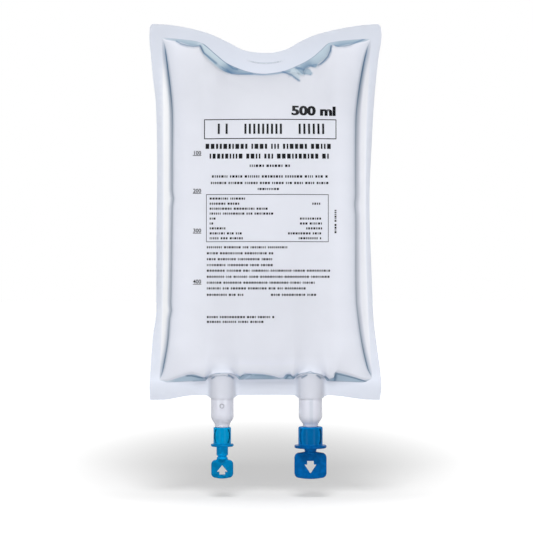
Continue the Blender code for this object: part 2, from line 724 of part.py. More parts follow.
def groove_cutter(name, port, cutters):
    """Two bowed grooves on the cap's front and two on its back: an oval ring kept to the cap's skin."""
    z = levels(port)
    middle_z = (z["cap"] + z["flange"]) / 2
    deep = port["cap_radius"] * 1.3
    room = port["cap_length"] / 2 - 1.1 * MM
    skin_radius = port["cap_radius"] - GROOVE_DEPTH

    def oval(reach, height):
        turns = [math.tau * k / 28 for k in range(28)]
        return [(port["x"] + reach * math.cos(t), middle_z + height * math.sin(t)) for t in turns]

    ring = plate(name, oval(port["groove_reach"] + GROOVE_WIDTH, port["groove_height"] + GROOVE_WIDTH),
                 -deep, deep, cutters)
    core = plate(name + " core", oval(port["groove_reach"], port["groove_height"]), -2 * deep, 2 * deep, cutters)
    corners = ((-deep, -room), (deep, -room), (deep, room), (-deep, room))
    limit = plate(name + " room", [(port["x"] + x, middle_z + up) for x, up in corners], -1.5 * deep, 1.5 * deep,
                  cutters)
    skin = turned(name + " skin", [(0, z["cap"] + deep), (skin_radius, z["cap"] + deep),
                                   (skin_radius, z["stem"] - deep), (0, z["stem"] - deep)],
                  port["x"], cutters, CAP_STEPS)
    boolean(ring, core, "DIFFERENCE")
    boolean(ring, limit, "INTERSECT")
    boolean(ring, skin, "DIFFERENCE")
    return ring


def cap(name, port, collection, cutters):
    z = levels(port)
    r, edge, rim, stem = port["cap_radius"], port["cap_edge"], port["flange_radius"], port["stem_radius"]
    hole = port["spigot_radius"] + FIT
    lip = 0.35 * MM
    profile = [
        (hole, z["cap"]), (r - edge, z["cap"]), (r - 0.3 * edge, z["cap"] - 0.3 * edge), (r, z["cap"] - edge),
        (r, z["flange"] + lip), (r + lip, z["flange"]), (rim - lip, z["flange"] - 0.1 * MM),
        (rim, (z["flange"] + z["stem"]) / 2), (rim - lip, z["stem"]), (stem + lip, z["stem"]),
        (stem, z["stem"] - lip), (stem, z["waist"]), (port["waist_radius"], z["waist"] - port["waist_length"]),
        (port["shoulder_radius"], z["shoulder"]), (port["shoulder_radius"], z["shoulder"] - 0.8 * MM),
        (0, z["shoulder"] - 2.4 * MM), (0, z["floor"]), (hole, z["floor"]),
    ]
    obj = turned(name, profile, port["x"], collection, CAP_STEPS)
    half = port["tab_thick"] / 2
    tab = plate(name + " tab", tab_outline(port), -half, half, cutters)
    soft = tab.modifiers.new("soft edge", "BEVEL")
    soft.width = 0.5 * MM
    soft.segments = 2
    soft.limit_method = "ANGLE"
    soft.angle_limit = math.radians(50)
    arrow = plate(name + " arrow", arrow_outline(port), -2 * half, 2 * half, cutters)
    boolean(obj, tab, "UNION")
    boolean(obj, arrow, "DIFFERENCE")
    boolean(obj, groove_cutter(name + " grooves", port, cutters), "DIFFERENCE")
    return obj


def paint(obj, name, color, roughness, alpha=1.0):
    material = bpy.data.materials.new(name)
    material.use_nodes = True
    shader = material.node_tree.nodes["Principled BSDF"]
    shader.inputs["Base Color"].default_value = (*color, 1)
    shader.inputs["Roughness"].default_value = roughness
    shader.inputs["Alpha"].default_value = alpha
    material.diffuse_color = (*color, alpha)
    obj.data.materials.append(material)


def main():
    for obj in list(bpy.data.objects):
        bpy.data.objects.remove(obj, do_unlink=True)
    parts = bpy.data.collections.new("fluid bag")
    cutters = bpy.data.collections.new("fluid bag cutters")
    bpy.context.scene.collection.children.link(parts)
    bpy.context.scene.collection.children.link(cutters)

    layout = film_layout()
    paint(film("front_film", layout, True, parts), "film", (0.80, 0.82, 0.87), 0.3)
    paint(film("back_film", layout, False, parts), "back film", (0.80, 0.82, 0.87), 0.3)
    paint(solution("solution", layout, parts, cutters), "solution", (0.85, 0.89, 0.95), 0.05)
    for side, port in PORTS.items():
        paint(port_tube(side + "_port_tube", port, parts), side + " port tube", (0.86, 0.88, 0.93), 0.15)
        paint(septum(side + "_septum", port, parts), side + " septum", (0.75, 0.74, 0.70), 0.6)
        paint(cap(side + "_cap", port, parts, cutters), side + " cap", port["color"], 0.3)
    for obj in cutters.objects:
        obj.hide_render = True
        obj.display_type = "WIRE"


main()
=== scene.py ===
"""Looks of a hung fluid bag: gathered film, its print, the liquid, two milky tubes and two break-off caps."""

import math
import random

import bmesh
import bpy
import numpy as np
from bpy.props import BoolProperty, FloatProperty, FloatVectorProperty, IntProperty, PointerProperty
from mathutils import Matrix, Vector
from mathutils.geometry import delaunay_2d_cdt


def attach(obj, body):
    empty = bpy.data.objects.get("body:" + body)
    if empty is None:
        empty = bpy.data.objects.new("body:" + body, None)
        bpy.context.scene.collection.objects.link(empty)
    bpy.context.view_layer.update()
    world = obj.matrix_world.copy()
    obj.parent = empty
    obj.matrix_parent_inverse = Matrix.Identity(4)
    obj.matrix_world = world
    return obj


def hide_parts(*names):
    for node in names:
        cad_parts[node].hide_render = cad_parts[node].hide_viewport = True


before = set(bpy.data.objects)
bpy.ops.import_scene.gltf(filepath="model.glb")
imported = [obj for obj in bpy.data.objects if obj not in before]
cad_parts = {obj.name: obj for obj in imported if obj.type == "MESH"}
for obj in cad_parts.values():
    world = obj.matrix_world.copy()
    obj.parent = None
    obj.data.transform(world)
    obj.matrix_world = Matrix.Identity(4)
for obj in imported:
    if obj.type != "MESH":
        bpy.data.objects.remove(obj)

bl_info = {
    "name": "Fluid bag",
    "version": (1, 0, 0),
    "blender": (4, 5, 0),
    "location": "3D View > Sidebar > Fluid bag",
    "description": "Dresses a packed fluid bag with gathered film, print, liquid, ports and caps",
    "category": "Object",
}

MM = 0.001
FIT = 0.3 * MM

# Outlines of the film, as (position, value) in millimetres
LEFT_EDGE = [(-199, -67.6), (-190, -67.9), (-180, -67.3), (-160, -65.8), (-146, -63.9), (-110, -63.9),
             (-62, -63.4), (-33, -63.8), (-20, -64.5), (-12, -65.6), (2, -66.9), (14, -67.9), (22, -67.5)]
RIGHT_EDGE = [(-199, 66.9), (-190, 67.9), (-182, 67.2), (-167, 65.2), (-153, 63.4), (-128, 62.2), (-82, 60.8),
              (-47, 62.2), (-20, 63.8), (2, 66.1), (15, 67.9), (22, 67.2)]
TOP_EDGE = [(-68, 21.8), (-54, 20.8), (-33.6, 16.2), (-22, 11.0), (-12.6, 6.3), (1.4, 4.7),
            (13, 7.2), (20, 11.2), (28, 14.8), (53, 20.5), (68, 21.8)]
BOTTOM_EDGE = [(-68, -198.3), (-59.4, -198.2), (-52, -197.0), (-45, -195.8), (-34, -195.4), (34, -195.4),
               (42, -195.9), (50, -197.0), (58, -198.0), (68, -198.3)]
CORNER_ROUND = 2.2 * MM
EDGE_LOW_Z = -193 * MM
EDGE_STEP = 2.0 * MM
CURL_Z = -86 * MM
CURL_REACH = 98 * MM
CURL_WIDTH = 4.2 * MM
LOWER_Z = -150 * MM
RIM_STEP = 0.6 * MM
FILM_THICK = 0.25 * MM

# Where the points of the flat layout lie: the coarse and the fine rows, the welded band and the sleeves
FILM_HALF_WIDTH = 68 * MM
COARSE_SPAN = (-172 * MM, -24 * MM)
FINE_SPANS = ((-190 * MM, -172.5 * MM), (-23 * MM, 14 * MM))
BAND_SPAN = (-198 * MM, 22 * MM)
BAND_STEP = 2.6 * MM
BAND_CLEAR = 1.1 * MM
SLEEVE_SPAN = (-194.6 * MM, -187.6 * MM)
SLEEVE_STEP = 1.4 * MM
SLEEVE_FINE_Z = -187 * MM
SLEEVE_ROOM = 2.6 * MM
LIP_REACH = 0.25 * MM

# The weld's inner edge, where the films part
WELD_TOP = [(-60.5, 13.5), (-48, 12.4), (-39.5, 11.1), (-36.4, 9.9), (-29.5, 4.1), (-23.1, -1.1),
            (-16.1, -4.4), (-10.2, -6.4), (-2, -7.6), (10.2, -6.1), (17.3, -3.5), (27.2, 1.8),
            (31.9, 5.7), (36.4, 9.9), (39.5, 10.9), (51.2, 12.3), (61.7, 12.9)]
WELD_BOTTOM = [(-62, -186.6), (-57, -187.8), (-45, -187.4), (-14, -186.2), (10, -186.0), (40, -187.2),
               (57, -187.8), (62.3, -185.6)]
WELD_LEFT = [(-186.6, -62.0), (-140, -60.2), (-86, -59.7), (-35, -59.9), (13.5, -60.5)]
WELD_RIGHT = [(-185.6, 62.3), (-140, 59.7), (-86, 58.5), (-35, 59.2), (12.9, 61.7)]

# The filled shape
SIDE_POWER = 0.63
TOP_REACH = 78 * MM
TOP_POWER = 0.6
BOTTOM_REACH = 56 * MM
BOTTOM_POWER = 0.55

# The gathers: the width of the flat facet beside the weld, along each weld
FACET_TOP = [(-60.5, 0.4), (-50, 1.4), (-43, 2.7), (-39.2, 2.2), (-37.2, 1.0), (-35, 3.2), (-31, 4.6),
             (-24, 5.0), (-19.5, 4.6), (-15, 3.0), (-10, 1.5), (-4, 0.6), (9, 0.7), (13, 1.6), (16.4, 3.2),
             (18.8, 6.4), (21, 3.6), (23.6, 3.2), (26, 6.0), (28, 4.8), (31, 4.9), (34, 3.8), (36.4, 2.2),
             (38, 1.0), (41.5, 2.7), (47, 2.4), (53, 1.7), (61.7, 0.4)]
FACET_BOTTOM = [(-62, 0.4), (-57, 0.6), (-50, 2.3), (-42.6, 3.8), (-38, 2.4), (-35, 1.0), (-17, 1.0),
                (-14.8, 2.0), (-9, 3.0), (-2, 2.6), (3, 1.7), (7.7, 0.7), (10, 0.7), (11.6, 2.2), (14.5, 2.9),
                (17, 1.0), (36, 1.0), (39.6, 1.8), (41, 4.8), (50, 3.0), (59, 0.6), (62.3, 0.4)]
FACET_LEFT = [(-186.6, 0.4), (-178, 1.6), (-163, 3.1), (-150, 3.3), (-146, 4.0), (-141, 3.4), (-86, 3.7),
              (-80.5, 4.4), (-76, 3.7), (-32, 4.0), (-3, 2.2), (13.5, 0.4)]
FACET_RIGHT = [(-185.6, 0.4), (-178, 1.8), (-163, 3.3), (-140, 3.8), (-91, 2.9), (-84, 3.5), (-78, 3.0),
               (-58, 3.3), (-30, 3.5), (-3, 2.4), (12.9, 0.4)]
FACET_SLOPE = 0.42
FACET_FLAT = 4.2 * MM
FACET_CLIMB = 1.5
FOLD_LEFT = 2.4 * MM
FOLD_RIGHT = 3.8 * MM
FOLD_ENDS = 1.5 * MM
FOLD_CORNER = 1.0 * MM
FOLD_END_RUN = 12 * MM
FOLD_SIDE_RUN = 45 * MM

# Soft folds in the filled film: start and end (x, z), width and height in millimetres
SOFT_FOLDS = [
    ((-29, -13), (-18, -24), 2.6, 0.35), ((-22, -11), (-9, -17), 2.2, -0.3),
    ((-33, -8), (-27, -26), 3.0, -0.25), ((19, -14), (24, -28), 3.0, 0.3),
    ((28, -8), (30, -24), 3.0, -0.25), ((37, 4), (38, -14), 3.0, 0.2),
    ((-36, 4), (-38, -14), 3.0, 0.2), ((52, -70), (53, -96), 2.0, -0.5),
    ((-52, -74), (-51.5, -90), 1.8, -0.3), ((-2, -182), (2, -170), 3.0, 0.3),
    ((12, -181), (13, -168), 2.4, -0.3), ((42, -181), (44, -166), 2.6, 0.35),
    ((-44, -181), (-45, -168), 3.0, 0.3), ((51, -180), (53, -162), 2.4, -0.25),
]

# The painted shade of the gathers along the top and the bottom: (x, share of the dark fold colour)
TOP_SHADE = [(-60.5, 0.2), (-55, 0.45), (-47, 0.55), (-43, 0.58), (-40, 0.5), (-38.3, 0.3), (-36, 0.2),
             (-25.4, 0.26), (-22.5, 0.7), (-20.2, 0.95), (-15, 0.8), (-10, 0.8), (-2, 0.7), (4, 0.6),
             (11.4, 0.75), (14.0, 0.6), (15.6, 0.24), (19, 0.26), (20.4, 0.8), (23.7, 0.85), (26.4, 0.6),
             (28.4, 0.42), (35.4, 0.36), (37.7, 0.45), (43.6, 0.74), (49.4, 0.69), (56.5, 0.58),
             (61.7, 0.2)]
BOTTOM_SHADE = [(-62, 0.0), (-57.6, 0.05), (-50, 0.04), (-46, 0.02), (-43, 0.06), (-38, 0.36), (-35, 0.5),
                (-33, 0.0), (-17.6, 0.0), (-16, 0.5), (-12.5, 0.4), (-9, 0.3), (-2, 0.42), (5.6, 0.5),
                (8, 0.25), (10.8, 0.45), (12.4, 0.6), (14.3, 0.15), (16.2, 0.6), (18.4, 0.1), (20, 0.0),
                (34, 0.0), (35.6, 0.4), (39.4, 0.5), (41, 0.6), (42.6, 0.25), (49.4, 0.18), (56.4, 0.3),
                (62.3, 0.0)]
# How dark the painted shade line along the weld's inner edge is: (x, share)
TOP_LINE = [(-61, 0.1), (-57, 0.5), (-40, 0.5), (-37.5, 0.4), (-35.5, 0.95), (-20, 0.95), (-14, 0.85),
            (-4, 0.8), (0, 0.2), (3, 0.8), (12, 0.6), (18, 0.7), (26, 0.75), (37, 0.7), (40, 0.55),
            (57, 0.5), (61.7, 0.1)]
BOTTOM_LINE = [(-62, 0.1), (-57, 0.3), (-43.6, 0.3), (-41.8, 0.8), (-36, 0.8), (-34.5, 0.55),
               (-26.6, 0.5), (-17, 0.5), (-15, 0.7), (-9, 0.8), (8, 0.8), (11, 0.5), (13, 0.85),
               (18, 0.7), (22, 0.7), (29, 0.7), (34, 0.7), (37, 0.85), (41, 0.8), (49, 0.55), (58, 0.65),
               (62, 0.1)]

# Painted shade along creases, and a painted highlight where the strength is below 0: points (x, z) along each
# in millimetres, half its width, and how dark it is
CREASES = (
    ([(-52, 11.2), (-49.4, 9.7), (-45.6, 8.5), (-42, 8.0), (-38.8, 8.4)], 0.5, 0.75),
    ([(-38.3, 8.7), (-36.2, 4.4), (-32.5, 1.3), (-28.7, -1.9)], 0.6, 1.0),
    ([(-30, -0.8), (-26.6, -3.7), (-23, -5.1)], 0.35, 0.6),
    ([(-22.9, -5.1), (-19.8, -8.0), (-15.6, -8.4), (-12.3, -8.0), (-8, -7.6)], 0.45, 0.75),
    ([(-22, -2.0), (-19, -4.6), (-16.5, -5.0)], 0.6, 0.9),
    ([(10, -6.4), (12.6, -7.7), (14.7, -8.5), (17.4, -10.8), (19.6, -12.5)], 0.55, 1.0),
    ([(13.7, -9.8), (15.3, -9.1)], 0.4, 0.5),
    ([(17.9, -4.2), (20, -4.6), (22.4, -5.4)], 0.8, 0.9),
    ([(19.5, -5.6), (21.1, -7.7), (23.2, -8.5), (26.4, -9.1), (27.2, -7.9)], 0.35, 0.6),
    ([(38.5, 8.7), (38.0, 5.5), (36.4, 1.8), (33.8, -1.1), (31.4, -3.1)], 0.45, 1.0),
    ([(31.4, -3.1), (28.5, -2.7), (26.4, -3.5), (24.3, -4.8)], 0.4, 0.7),
    ([(40.7, 8.7), (42.8, 8.1), (45.9, 8.2), (49.6, 9.0), (52.8, 10.5), (58.1, 12.9)], 0.45, 0.75),
    ([(-46.1, -183.9), (-43.2, -183.9), (-38.5, -184.9), (-34.4, -185.2)], 0.45, 0.95),
    ([(-34.8, -185.9), (-31.8, -184.4), (-29.2, -182.8), (-26.6, -182.4)], 0.3, 0.8),
    ([(-30.7, -184.9), (-28.0, -183.6), (-24.5, -183.4), (-21.0, -184.3), (-18.9, -185.4)], 0.35, 0.6),
    ([(-21.8, -183.3), (-20.0, -184.4), (-19.0, -185.4)], 0.5, 1.0),
    ([(-31.0, -185.4), (-29.6, -184.4)], 0.5, 0.9),
    ([(-28.5, -180.5), (-23.5, -180.5)], 4.0, 0.15),
    ([(23.5, -180.5), (29, -180.5)], 4.0, 0.15),
    ([(-14.9, -184.6), (-12, -182.6), (-8.5, -183.2)], 0.5, 0.5),
    ([(-12.6, -186.2), (-9.1, -184.0)], 0.4, -0.35),
    ([(-6, -183.9), (0.5, -183.6), (5.0, -184.2), (8.5, -185.9)], 0.35, 0.4),
    ([(11.6, -186.2), (13, -184.0), (15.2, -183.8), (17, -185.6)], 0.42, 0.9),
    ([(18.6, -185.4), (22.0, -183.2), (24.6, -181.6), (26.2, -181.3), (29.4, -182.9), (33.7, -185.4)],
     0.4, 0.6),
    ([(21.4, -184.9), (24.0, -183.3)], 0.5, 0.95),
    ([(29.8, -183.4), (31.8, -185.2)], 0.5, 0.9),
    ([(34.8, -184.4), (36.8, -186.0)], 0.5, 0.8),
    ([(40.5, -182.0), (40.8, -184.5), (40.6, -186.8)], 0.5, 1.0),
    ([(42.0, -182.7), (47, -183.9), (53, -185.5), (59.5, -187.6)], 0.38, 0.85),
)
# Painted light and shade on the film, by height and across, that evens out how the lamps light it: (z or x,
# factor)
FILLED_LIGHT_SHADE = [(-188, 1.1), (-178, 1.06), (-172, 1.045), (-163, 1.06), (-154, 1.03), (-142, 1.02),
               (-90, 1.02), (-60, 0.98), (-40, 0.95), (-20, 0.865), (5, 0.84)]
ACROSS_LIGHT_SHADE = [(-52, 1.04), (-45, 0.98), (-38, 0.93), (-28, 0.88), (22, 0.88), (36, 0.92), (42, 0.99),
               (52, 1.03)]
# How much of the painted light and shade across the film applies at each height: (z, share)
ACROSS_SHARE = [(-178, -0.75), (-172, 0), (-163, 0.6), (-154, 0.75), (-142, 1)]
# Painted shade on the filled film beside the long creases' ridge: how dark it is there, and how far it
# reaches
MARGIN_SHADE = 0.17
MARGIN_SHADE_REACH = 3.2 * MM
# Painted light and shade on the welded band by height: lighter low down and at mid-height, where the filled
# film and the curl shade it, darker at the top
WELD_LIGHT_SHADE = [(-196, 1.0), (-190, 1.04), (-187, 1.14), (-180, 1.06), (-150, 1.1), (-93, 1.22), (-30, 1.08),
             (8, 0.9), (20, 0.87)]
# Painted shade of small folded-over leaves of film below the arch: outline, share of the facet colour and of
# the fold colour
LEAVES = (
    ([(14.7, -5.6), (17.9, -5.6), (20.0, -7.7), (20.0, -10.9), (19.6, -12.3), (17.4, -10.6), (14.7, -8.3)],
     0.75, 0.18),
    ([(17.9, -4.0), (20.0, -3.7), (23.2, -4.6), (25.9, -5.8), (27.1, -7.7), (26.4, -9.1), (23.2, -8.5),
      (21.1, -7.7), (19.5, -5.6)], 1.0, 0.5),
)
# How dark the painted shade of the long creases and how pale the painted highlight of the strips beside them
# are: (z, strength)
CREASE_LEFT = [(-186.6, 0.6), (-178, 0.95), (-166, 0.85), (-152, 0.7), (-138, 0.58), (-100, 0.56),
               (-80, 0.6), (-40, 0.75), (-26, 0.9), (-8, 1.05), (4, 1.0), (8, 0.7), (13.5, 0.1)]
CREASE_RIGHT = [(-185.6, 0.7), (-178, 0.95), (-166, 0.85), (-140, 0.6), (-100, 0.52), (-80, 0.56),
                (-50, 0.72), (-28, 0.9), (-10, 1.05), (4, 1.0), (8, 0.6), (12.9, 0.05)]
PALE_STRIP = [(-186, 0.1), (-172, 0.6), (-150, 1.0), (-25, 1.0), (-8, 0.6), (3, 0.0), (13.5, 0.0)]
# The painted highlight of the strip on the right against the one on the left
STRIP_RIGHT = 0.4
# How the painted shade of a crease fades with the distance from it in millimetres, and the strip's painted
# highlight with its share of the facet
CREASE_FADE = ((0, 0.15, 0.7, 1.1, 2.0, 2.8, 3.3), (0.4, 1, 0.9, 0.55, 0.34, 0.14, 0))
STRIP_FADE = ((0, 0.15, 0.85, 1.15), (0.3, 1, 1, 0))
LINE_REACH = 0.42 * MM

# Slit, ports and caps
SLIT_LENGTH = 23.4 * MM
SLIT_DROP = 2.3 * MM
SLIT_TOP_Z = 0.9 * MM
SLIT_GAP = 0.2 * MM
# How dark the painted shade along the slit is
SLIT_SHADE = 0.62
PORT_TOP_Z = -184.1 * MM
PORT_WALL = 1.25 * MM
DOME_RISE = 4.2 * MM
DOME_REACH = 9.8 * MM
SLEEVE_TURN = math.radians(64)
SLEEVE_CLEAR_Z = -181 * MM
SLEEVE_FOOT = 2.1 * MM
SLEEVE_FADE = 22 * MM
SLEEVE_FLARE = 4.0 * MM
SLEEVE_HUG = 1.7 * MM
BARREL_LENGTH = 24.7 * MM
TAPER_LENGTH = 3.0 * MM
SPIGOT_LENGTH = 5.2 * MM
SEPTUM_THICK = 2.2 * MM
LIQUID_GAP = 0.03 * MM
GROOVE_WIDTH = 0.75 * MM
GROOVE_DEPTH = 0.4 * MM

# Sizes of the ports and their caps in millimetres: at the injection port, at the infusion port
PORT_SIZES = {
    "x": (-25.3, 26.3), "radius": (6.7, 6.95), "neck_radius": (4.3, 4.4), "neck_length": (2.4, 2.0),
    "spigot_radius": (3.75, 4.1), "cap_radius": (5.15, 7.15), "cap_edge": (0.5, 1.1),
    "cap_length": (9.7, 10.8), "flange_radius": (6.65, 9.4), "flange_thick": (1.5, 1.7),
    "stem_radius": (3.4, 3.6), "stem_length": (5.0, 1.5), "waist_radius": (2.45, 3.2),
    "waist_length": (0.7, 0.4), "shoulder_radius": (3.25, 3.6), "shoulder_length": (0.9, 0.4),
    "tab_width": (12.9, 18.8), "tab_length": (12.0, 15.5), "tab_thick": (3.2, 3.6),
    "tab_round": (2.6, 2.9), "tab_bulge": (0.5, 0.6), "tab_slope": (1.6, 0.8),
    "groove_reach": (3.9, 5.5), "groove_height": (6.2, 9.0), "arrow_gap": (4.6, 5.5),
    "head_length": (4.0, 5.4), "head_half": (3.3, 3.6), "shaft_length": (1.6, 2.1),
    "shaft_half": (1.67, 1.95),
}
PORTS = {side: {"arrow_up": side == "injection", **{key: sizes[k] * MM for key, sizes in PORT_SIZES.items()}}
         for k, side in enumerate(("injection", "infusion"))}

# The highest tone of a cap's painted light and shade by height, and how far below the floor of its bore the
# tones begin
CAP_SPAN = 2.0
CAP_RAMP_DEPTH = 40 * MM
# The painted shade of each sleeve's panel, the strength of the painted shade in its left groove, and the
# painted light and shade of tab, stem, flange, sleeve
CAP_LIGHT_SHADE = {
    "injection": (0.82, 0.9, (0.88, 0.88, 0.88), (1, 1.4, 1.4), (0.9, 0.9, 0.95), (1, 1.55, 1.38)),
    "infusion": (0.56, 0.3, (1, 1.12, 1.1), (1, 1.2, 1.15), (1, 1.0, 1.0), (1, 2.0, 1.65)),
}

# How a place in the photograph becomes a place on the bag
PIXEL = 0.585 * MM
MIDDLE_PX = 265.5
SLIT_PY = 61.0
VIEW_PIXEL = 266.5
VIEW_X = (VIEW_PIXEL - MIDDLE_PX) * PIXEL
VIEW_Z = (SLIT_PY - VIEW_PIXEL) * PIXEL
FRAME_PIXELS = 533
CAMERA_DISTANCE = 1.1

# The lamps shine at this place, and the floor reaches this far each way
LAMP_AIM = (0, 0, -0.11)
FLOOR_SIZE = 6.0

# Colours: the start of a mixed colour, the band up a tube, and where no tube has one
MID_GREY = (0.8, 0.8, 0.8, 1)
TUBE_BAND_COLOUR = (0.60, 0.68, 0.76, 1)
NO_TUBE_BAND = 1.0
# The names of the film's colours in its material, and in its settings
FILM_COLOURS = {"Film": "belly", "Weld": "weld", "Strip": "strip", "Facet": "facet", "Low facet": "low_facet",
                "Clear": "clear", "Fold": "fold"}

# The print, in pixels of the photograph: the frames by their corners, and the bold bars in the first one
UPPER_FRAME = (204.6, 119.9, 335.8, 138.9)
LOWER_FRAME = (206.5, 194.6, 328.1, 241.8)
BOLD_STRETCHES = ((217.8, 227.7), (244.4, 281.9), (298.6, 324.1))
BOLD_Y = 128.9
BOLD_HEIGHT = 10.4
# The lines of larger type: left and right ends, middle, height, and how much of the height is inked
HEADING_LINES = ((205.7, 334.5, 146.4, 7.4, 0.95), (209.7, 330.2, 156.2, 7.2, 0.95),
                 (249.7, 290.2, 165.8, 4.8, 0.7), (212.0, 327.8, 176.5, 4.6, 0.7),
                 (211.0, 328.6, 183.0, 4.4, 0.7), (257.7, 281.6, 189.0, 4.2, 0.7))
# The framed list: middle of each line, right end of its first column, left end of its second one
TABLE_LINES = ((198.6, 246, None), (203.7, 240, 312.2), (208.7, 268, None), (213.6, 276.8, None),
               (218.6, 216.5, 299.9), (223.5, 214.6, 299.9), (228.4, 226.9, 306.1), (233.4, 244, 288),
               (238.3, 245.7, 298.6))
LIST_LEFT = 209.8
LIST_RIGHT = 322.1
# The lines of small type below: middle and right end
SMALL_LINES = ((247.3, 287.8), (253.3, 273.1), (259.2, 275.5), (265.1, 273.1), (270.7, 332.9), (276.8, 330),
               (282.7, 315.4), (288.4, 309), (294.8, 245.5), (317.0, 276), (321.8, 264.4))
SMALL_LEFT = 207
# A short line beside one of them, and one turned upright: its place and its length
SIDE_LINE = (271, 318.1, 294.8)
UPRIGHT_X = 335.3
UPRIGHT_Y = 233.2
UPRIGHT_LENGTH = 23.4
# The figures of the volume scale and the foot of each, the scale's rules, and the contents
SCALE_FIGURES = (("100", 154.8), ("200", 192.6), ("300", 232.4), ("400", 283.4))
SCALE_RULES = (155.6, 193.4, 233.2, 284.2)
SCALE_LEFT = 193.2
SCALE_RIGHT = 201.2
FIGURE_HEIGHT = 4.0
CONTENTS_X = 291.0
CONTENTS_Y = 114.9
CONTENTS_HEIGHT = 9.4
SMALL_PRINT = 4.1 * PIXEL
RULE_WIDTH = 0.5 * MM
# Type height against the height of its figures
TYPE_SIZE = 1.36
# The band up the infusion tube, and the gate ring on the injection tube
TUBE_BAND_PX = 311
GATE_PX = 222.2
GATE_PY = 405


def at_x(px):
    return (px - MIDDLE_PX) * PIXEL


def at_z(py):
    return (SLIT_PY - py) * PIXEL


def colour_setting(name, description, default):
    """A property that holds a colour."""
    return FloatVectorProperty(name=name, description=description, subtype="COLOR", size=3, min=0, max=1,
                               default=default)


def length_setting(name, description, default, **limits):
    """A property that holds a length in metres."""
    return FloatProperty(name=name, description=description, default=default, unit="LENGTH", **limits)


def floor_setting(name, description, default):
    """A property that holds two lengths, across the floor and along it."""
    return FloatVectorProperty(name=name, description=description, size=2, default=default,
                               subtype="XYZ_LENGTH")


class BagSettings(bpy.types.PropertyGroup):
    """Sizes and colours of the film."""
    thickness: length_setting("Film thickness", "Thickness of each film", FILM_THICK, min=0.05 * MM)
    half_depth: length_setting("Half thickness", "How far each film stands out when filled", 20.4 * MM)
    curl: length_setting("Weld curl", "How far the long welds curl back at mid-height", 5.0 * MM)
    grain: length_setting("Mesh spacing", "Distance between points on the filled film", 2.1 * MM, min=1 * MM)
    fine_grain: length_setting("Fine spacing", "Distance between points near the gathers", 0.7 * MM,
                               min=0.5 * MM)
    belly: colour_setting("Film", "Colour of the filled film", (0.80, 0.82, 0.895))
    weld: colour_setting("Weld", "Colour of the welded band", (0.70, 0.735, 0.82))
    # A painted highlight beside the long welds
    strip: colour_setting("Strip", "Colour of the pale strip beside the long welds", (0.93, 0.94, 0.96))
    # The facet, low facet and fold colours are painted shade in the gathers and creases
    facet: colour_setting("Facet", "Colour of the flat facets of the gathers", (0.56, 0.65, 0.70))
    low_facet: colour_setting("Low facet", "Colour of the facets of the bottom gathers", (0.52, 0.65, 0.77))
    # Painted light where the film wraps the tubes, over the shading of the wrap; the film is also a little
    # see-through there
    clear: colour_setting("Over the tubes", "Colour of the film where it wraps the tubes", (0.78, 0.80, 0.88))
    fold: colour_setting("Fold", "Colour down in the folds", (0.09, 0.18, 0.30))


class PrintSettings(bpy.types.PropertyGroup):
    """The print on the front film."""
    ink: colour_setting("Ink", "Colour of the print", (0.004, 0.004, 0.006))
    lift: length_setting("Lift", "How far the print stands off the film", 0.05 * MM)
    seed: IntProperty(name="Seed", description="Seed for the lengths of the marks", default=11)


class PortSettings(bpy.types.PropertyGroup):
    """Finish of the ports and caps."""
    steps: IntProperty(name="Steps", description="Sides of each turned piece", default=72, min=16)
    soft_edge: length_setting("Edge", "Rounding of the tabs' edges", 0.55 * MM)
    injection_cap: colour_setting("Injection cap", "Colour of the injection cap", (0.0, 0.21, 0.475))
    infusion_cap: colour_setting("Infusion cap", "Colour of the infusion cap", (0.0, 0.095, 0.32))
    tube: colour_setting("Tube", "Tint of the milky tubes", (0.86, 0.875, 0.97))
    gate_mark: BoolProperty(name="Gate mark", description="The small ring on the injection tube",
                            default=True)


class StageSettings(bpy.types.PropertyGroup):
    """Floor, lamps and camera."""
    floor_drop: length_setting("Floor", "Height of the floor", -256 * MM)
    key: FloatProperty(name="Key light", description="Power of the key light, in watts", default=9.5, min=0)
    fill: FloatProperty(name="Fill lights", description="Power of each low light, in watts", default=1.7,
                        min=0)
    sky: FloatProperty(name="Sky", description="Strength of the light from the horizon", default=0.34, min=0)
    zenith: FloatProperty(name="Zenith", description="Strength of the light from above", default=0.15, min=0)
    floor_tone: FloatProperty(name="Floor tone", description="How much of the light the floor shows",
                              default=0.54, min=0, max=1)
    # The glow is lowered in a soft oval behind the bag and in one below the caps: a painted shadow on the
    # floor over its real shadow
    floor_glow: FloatProperty(name="Floor glow", description="How much the floor shines behind the bag",
                              default=0.45, min=0, max=1)
    glow_middle: floor_setting("Shade middle", "Where the floor is darkest", (0, 0.2))
    glow_reach: floor_setting("Shade reach", "How far from there the floor is all white", (0.232, 0.55))
    foot_glow: FloatProperty(name="Foot glow", description="Share of the glow left below the caps",
                             default=0.88, min=0, max=1)
    foot_middle: floor_setting("Foot middle", "Middle of the shade below the caps", (0, 0.013))
    foot_reach: floor_setting("Foot reach", "Reach of the shade below the caps", (0.167, 0.05))


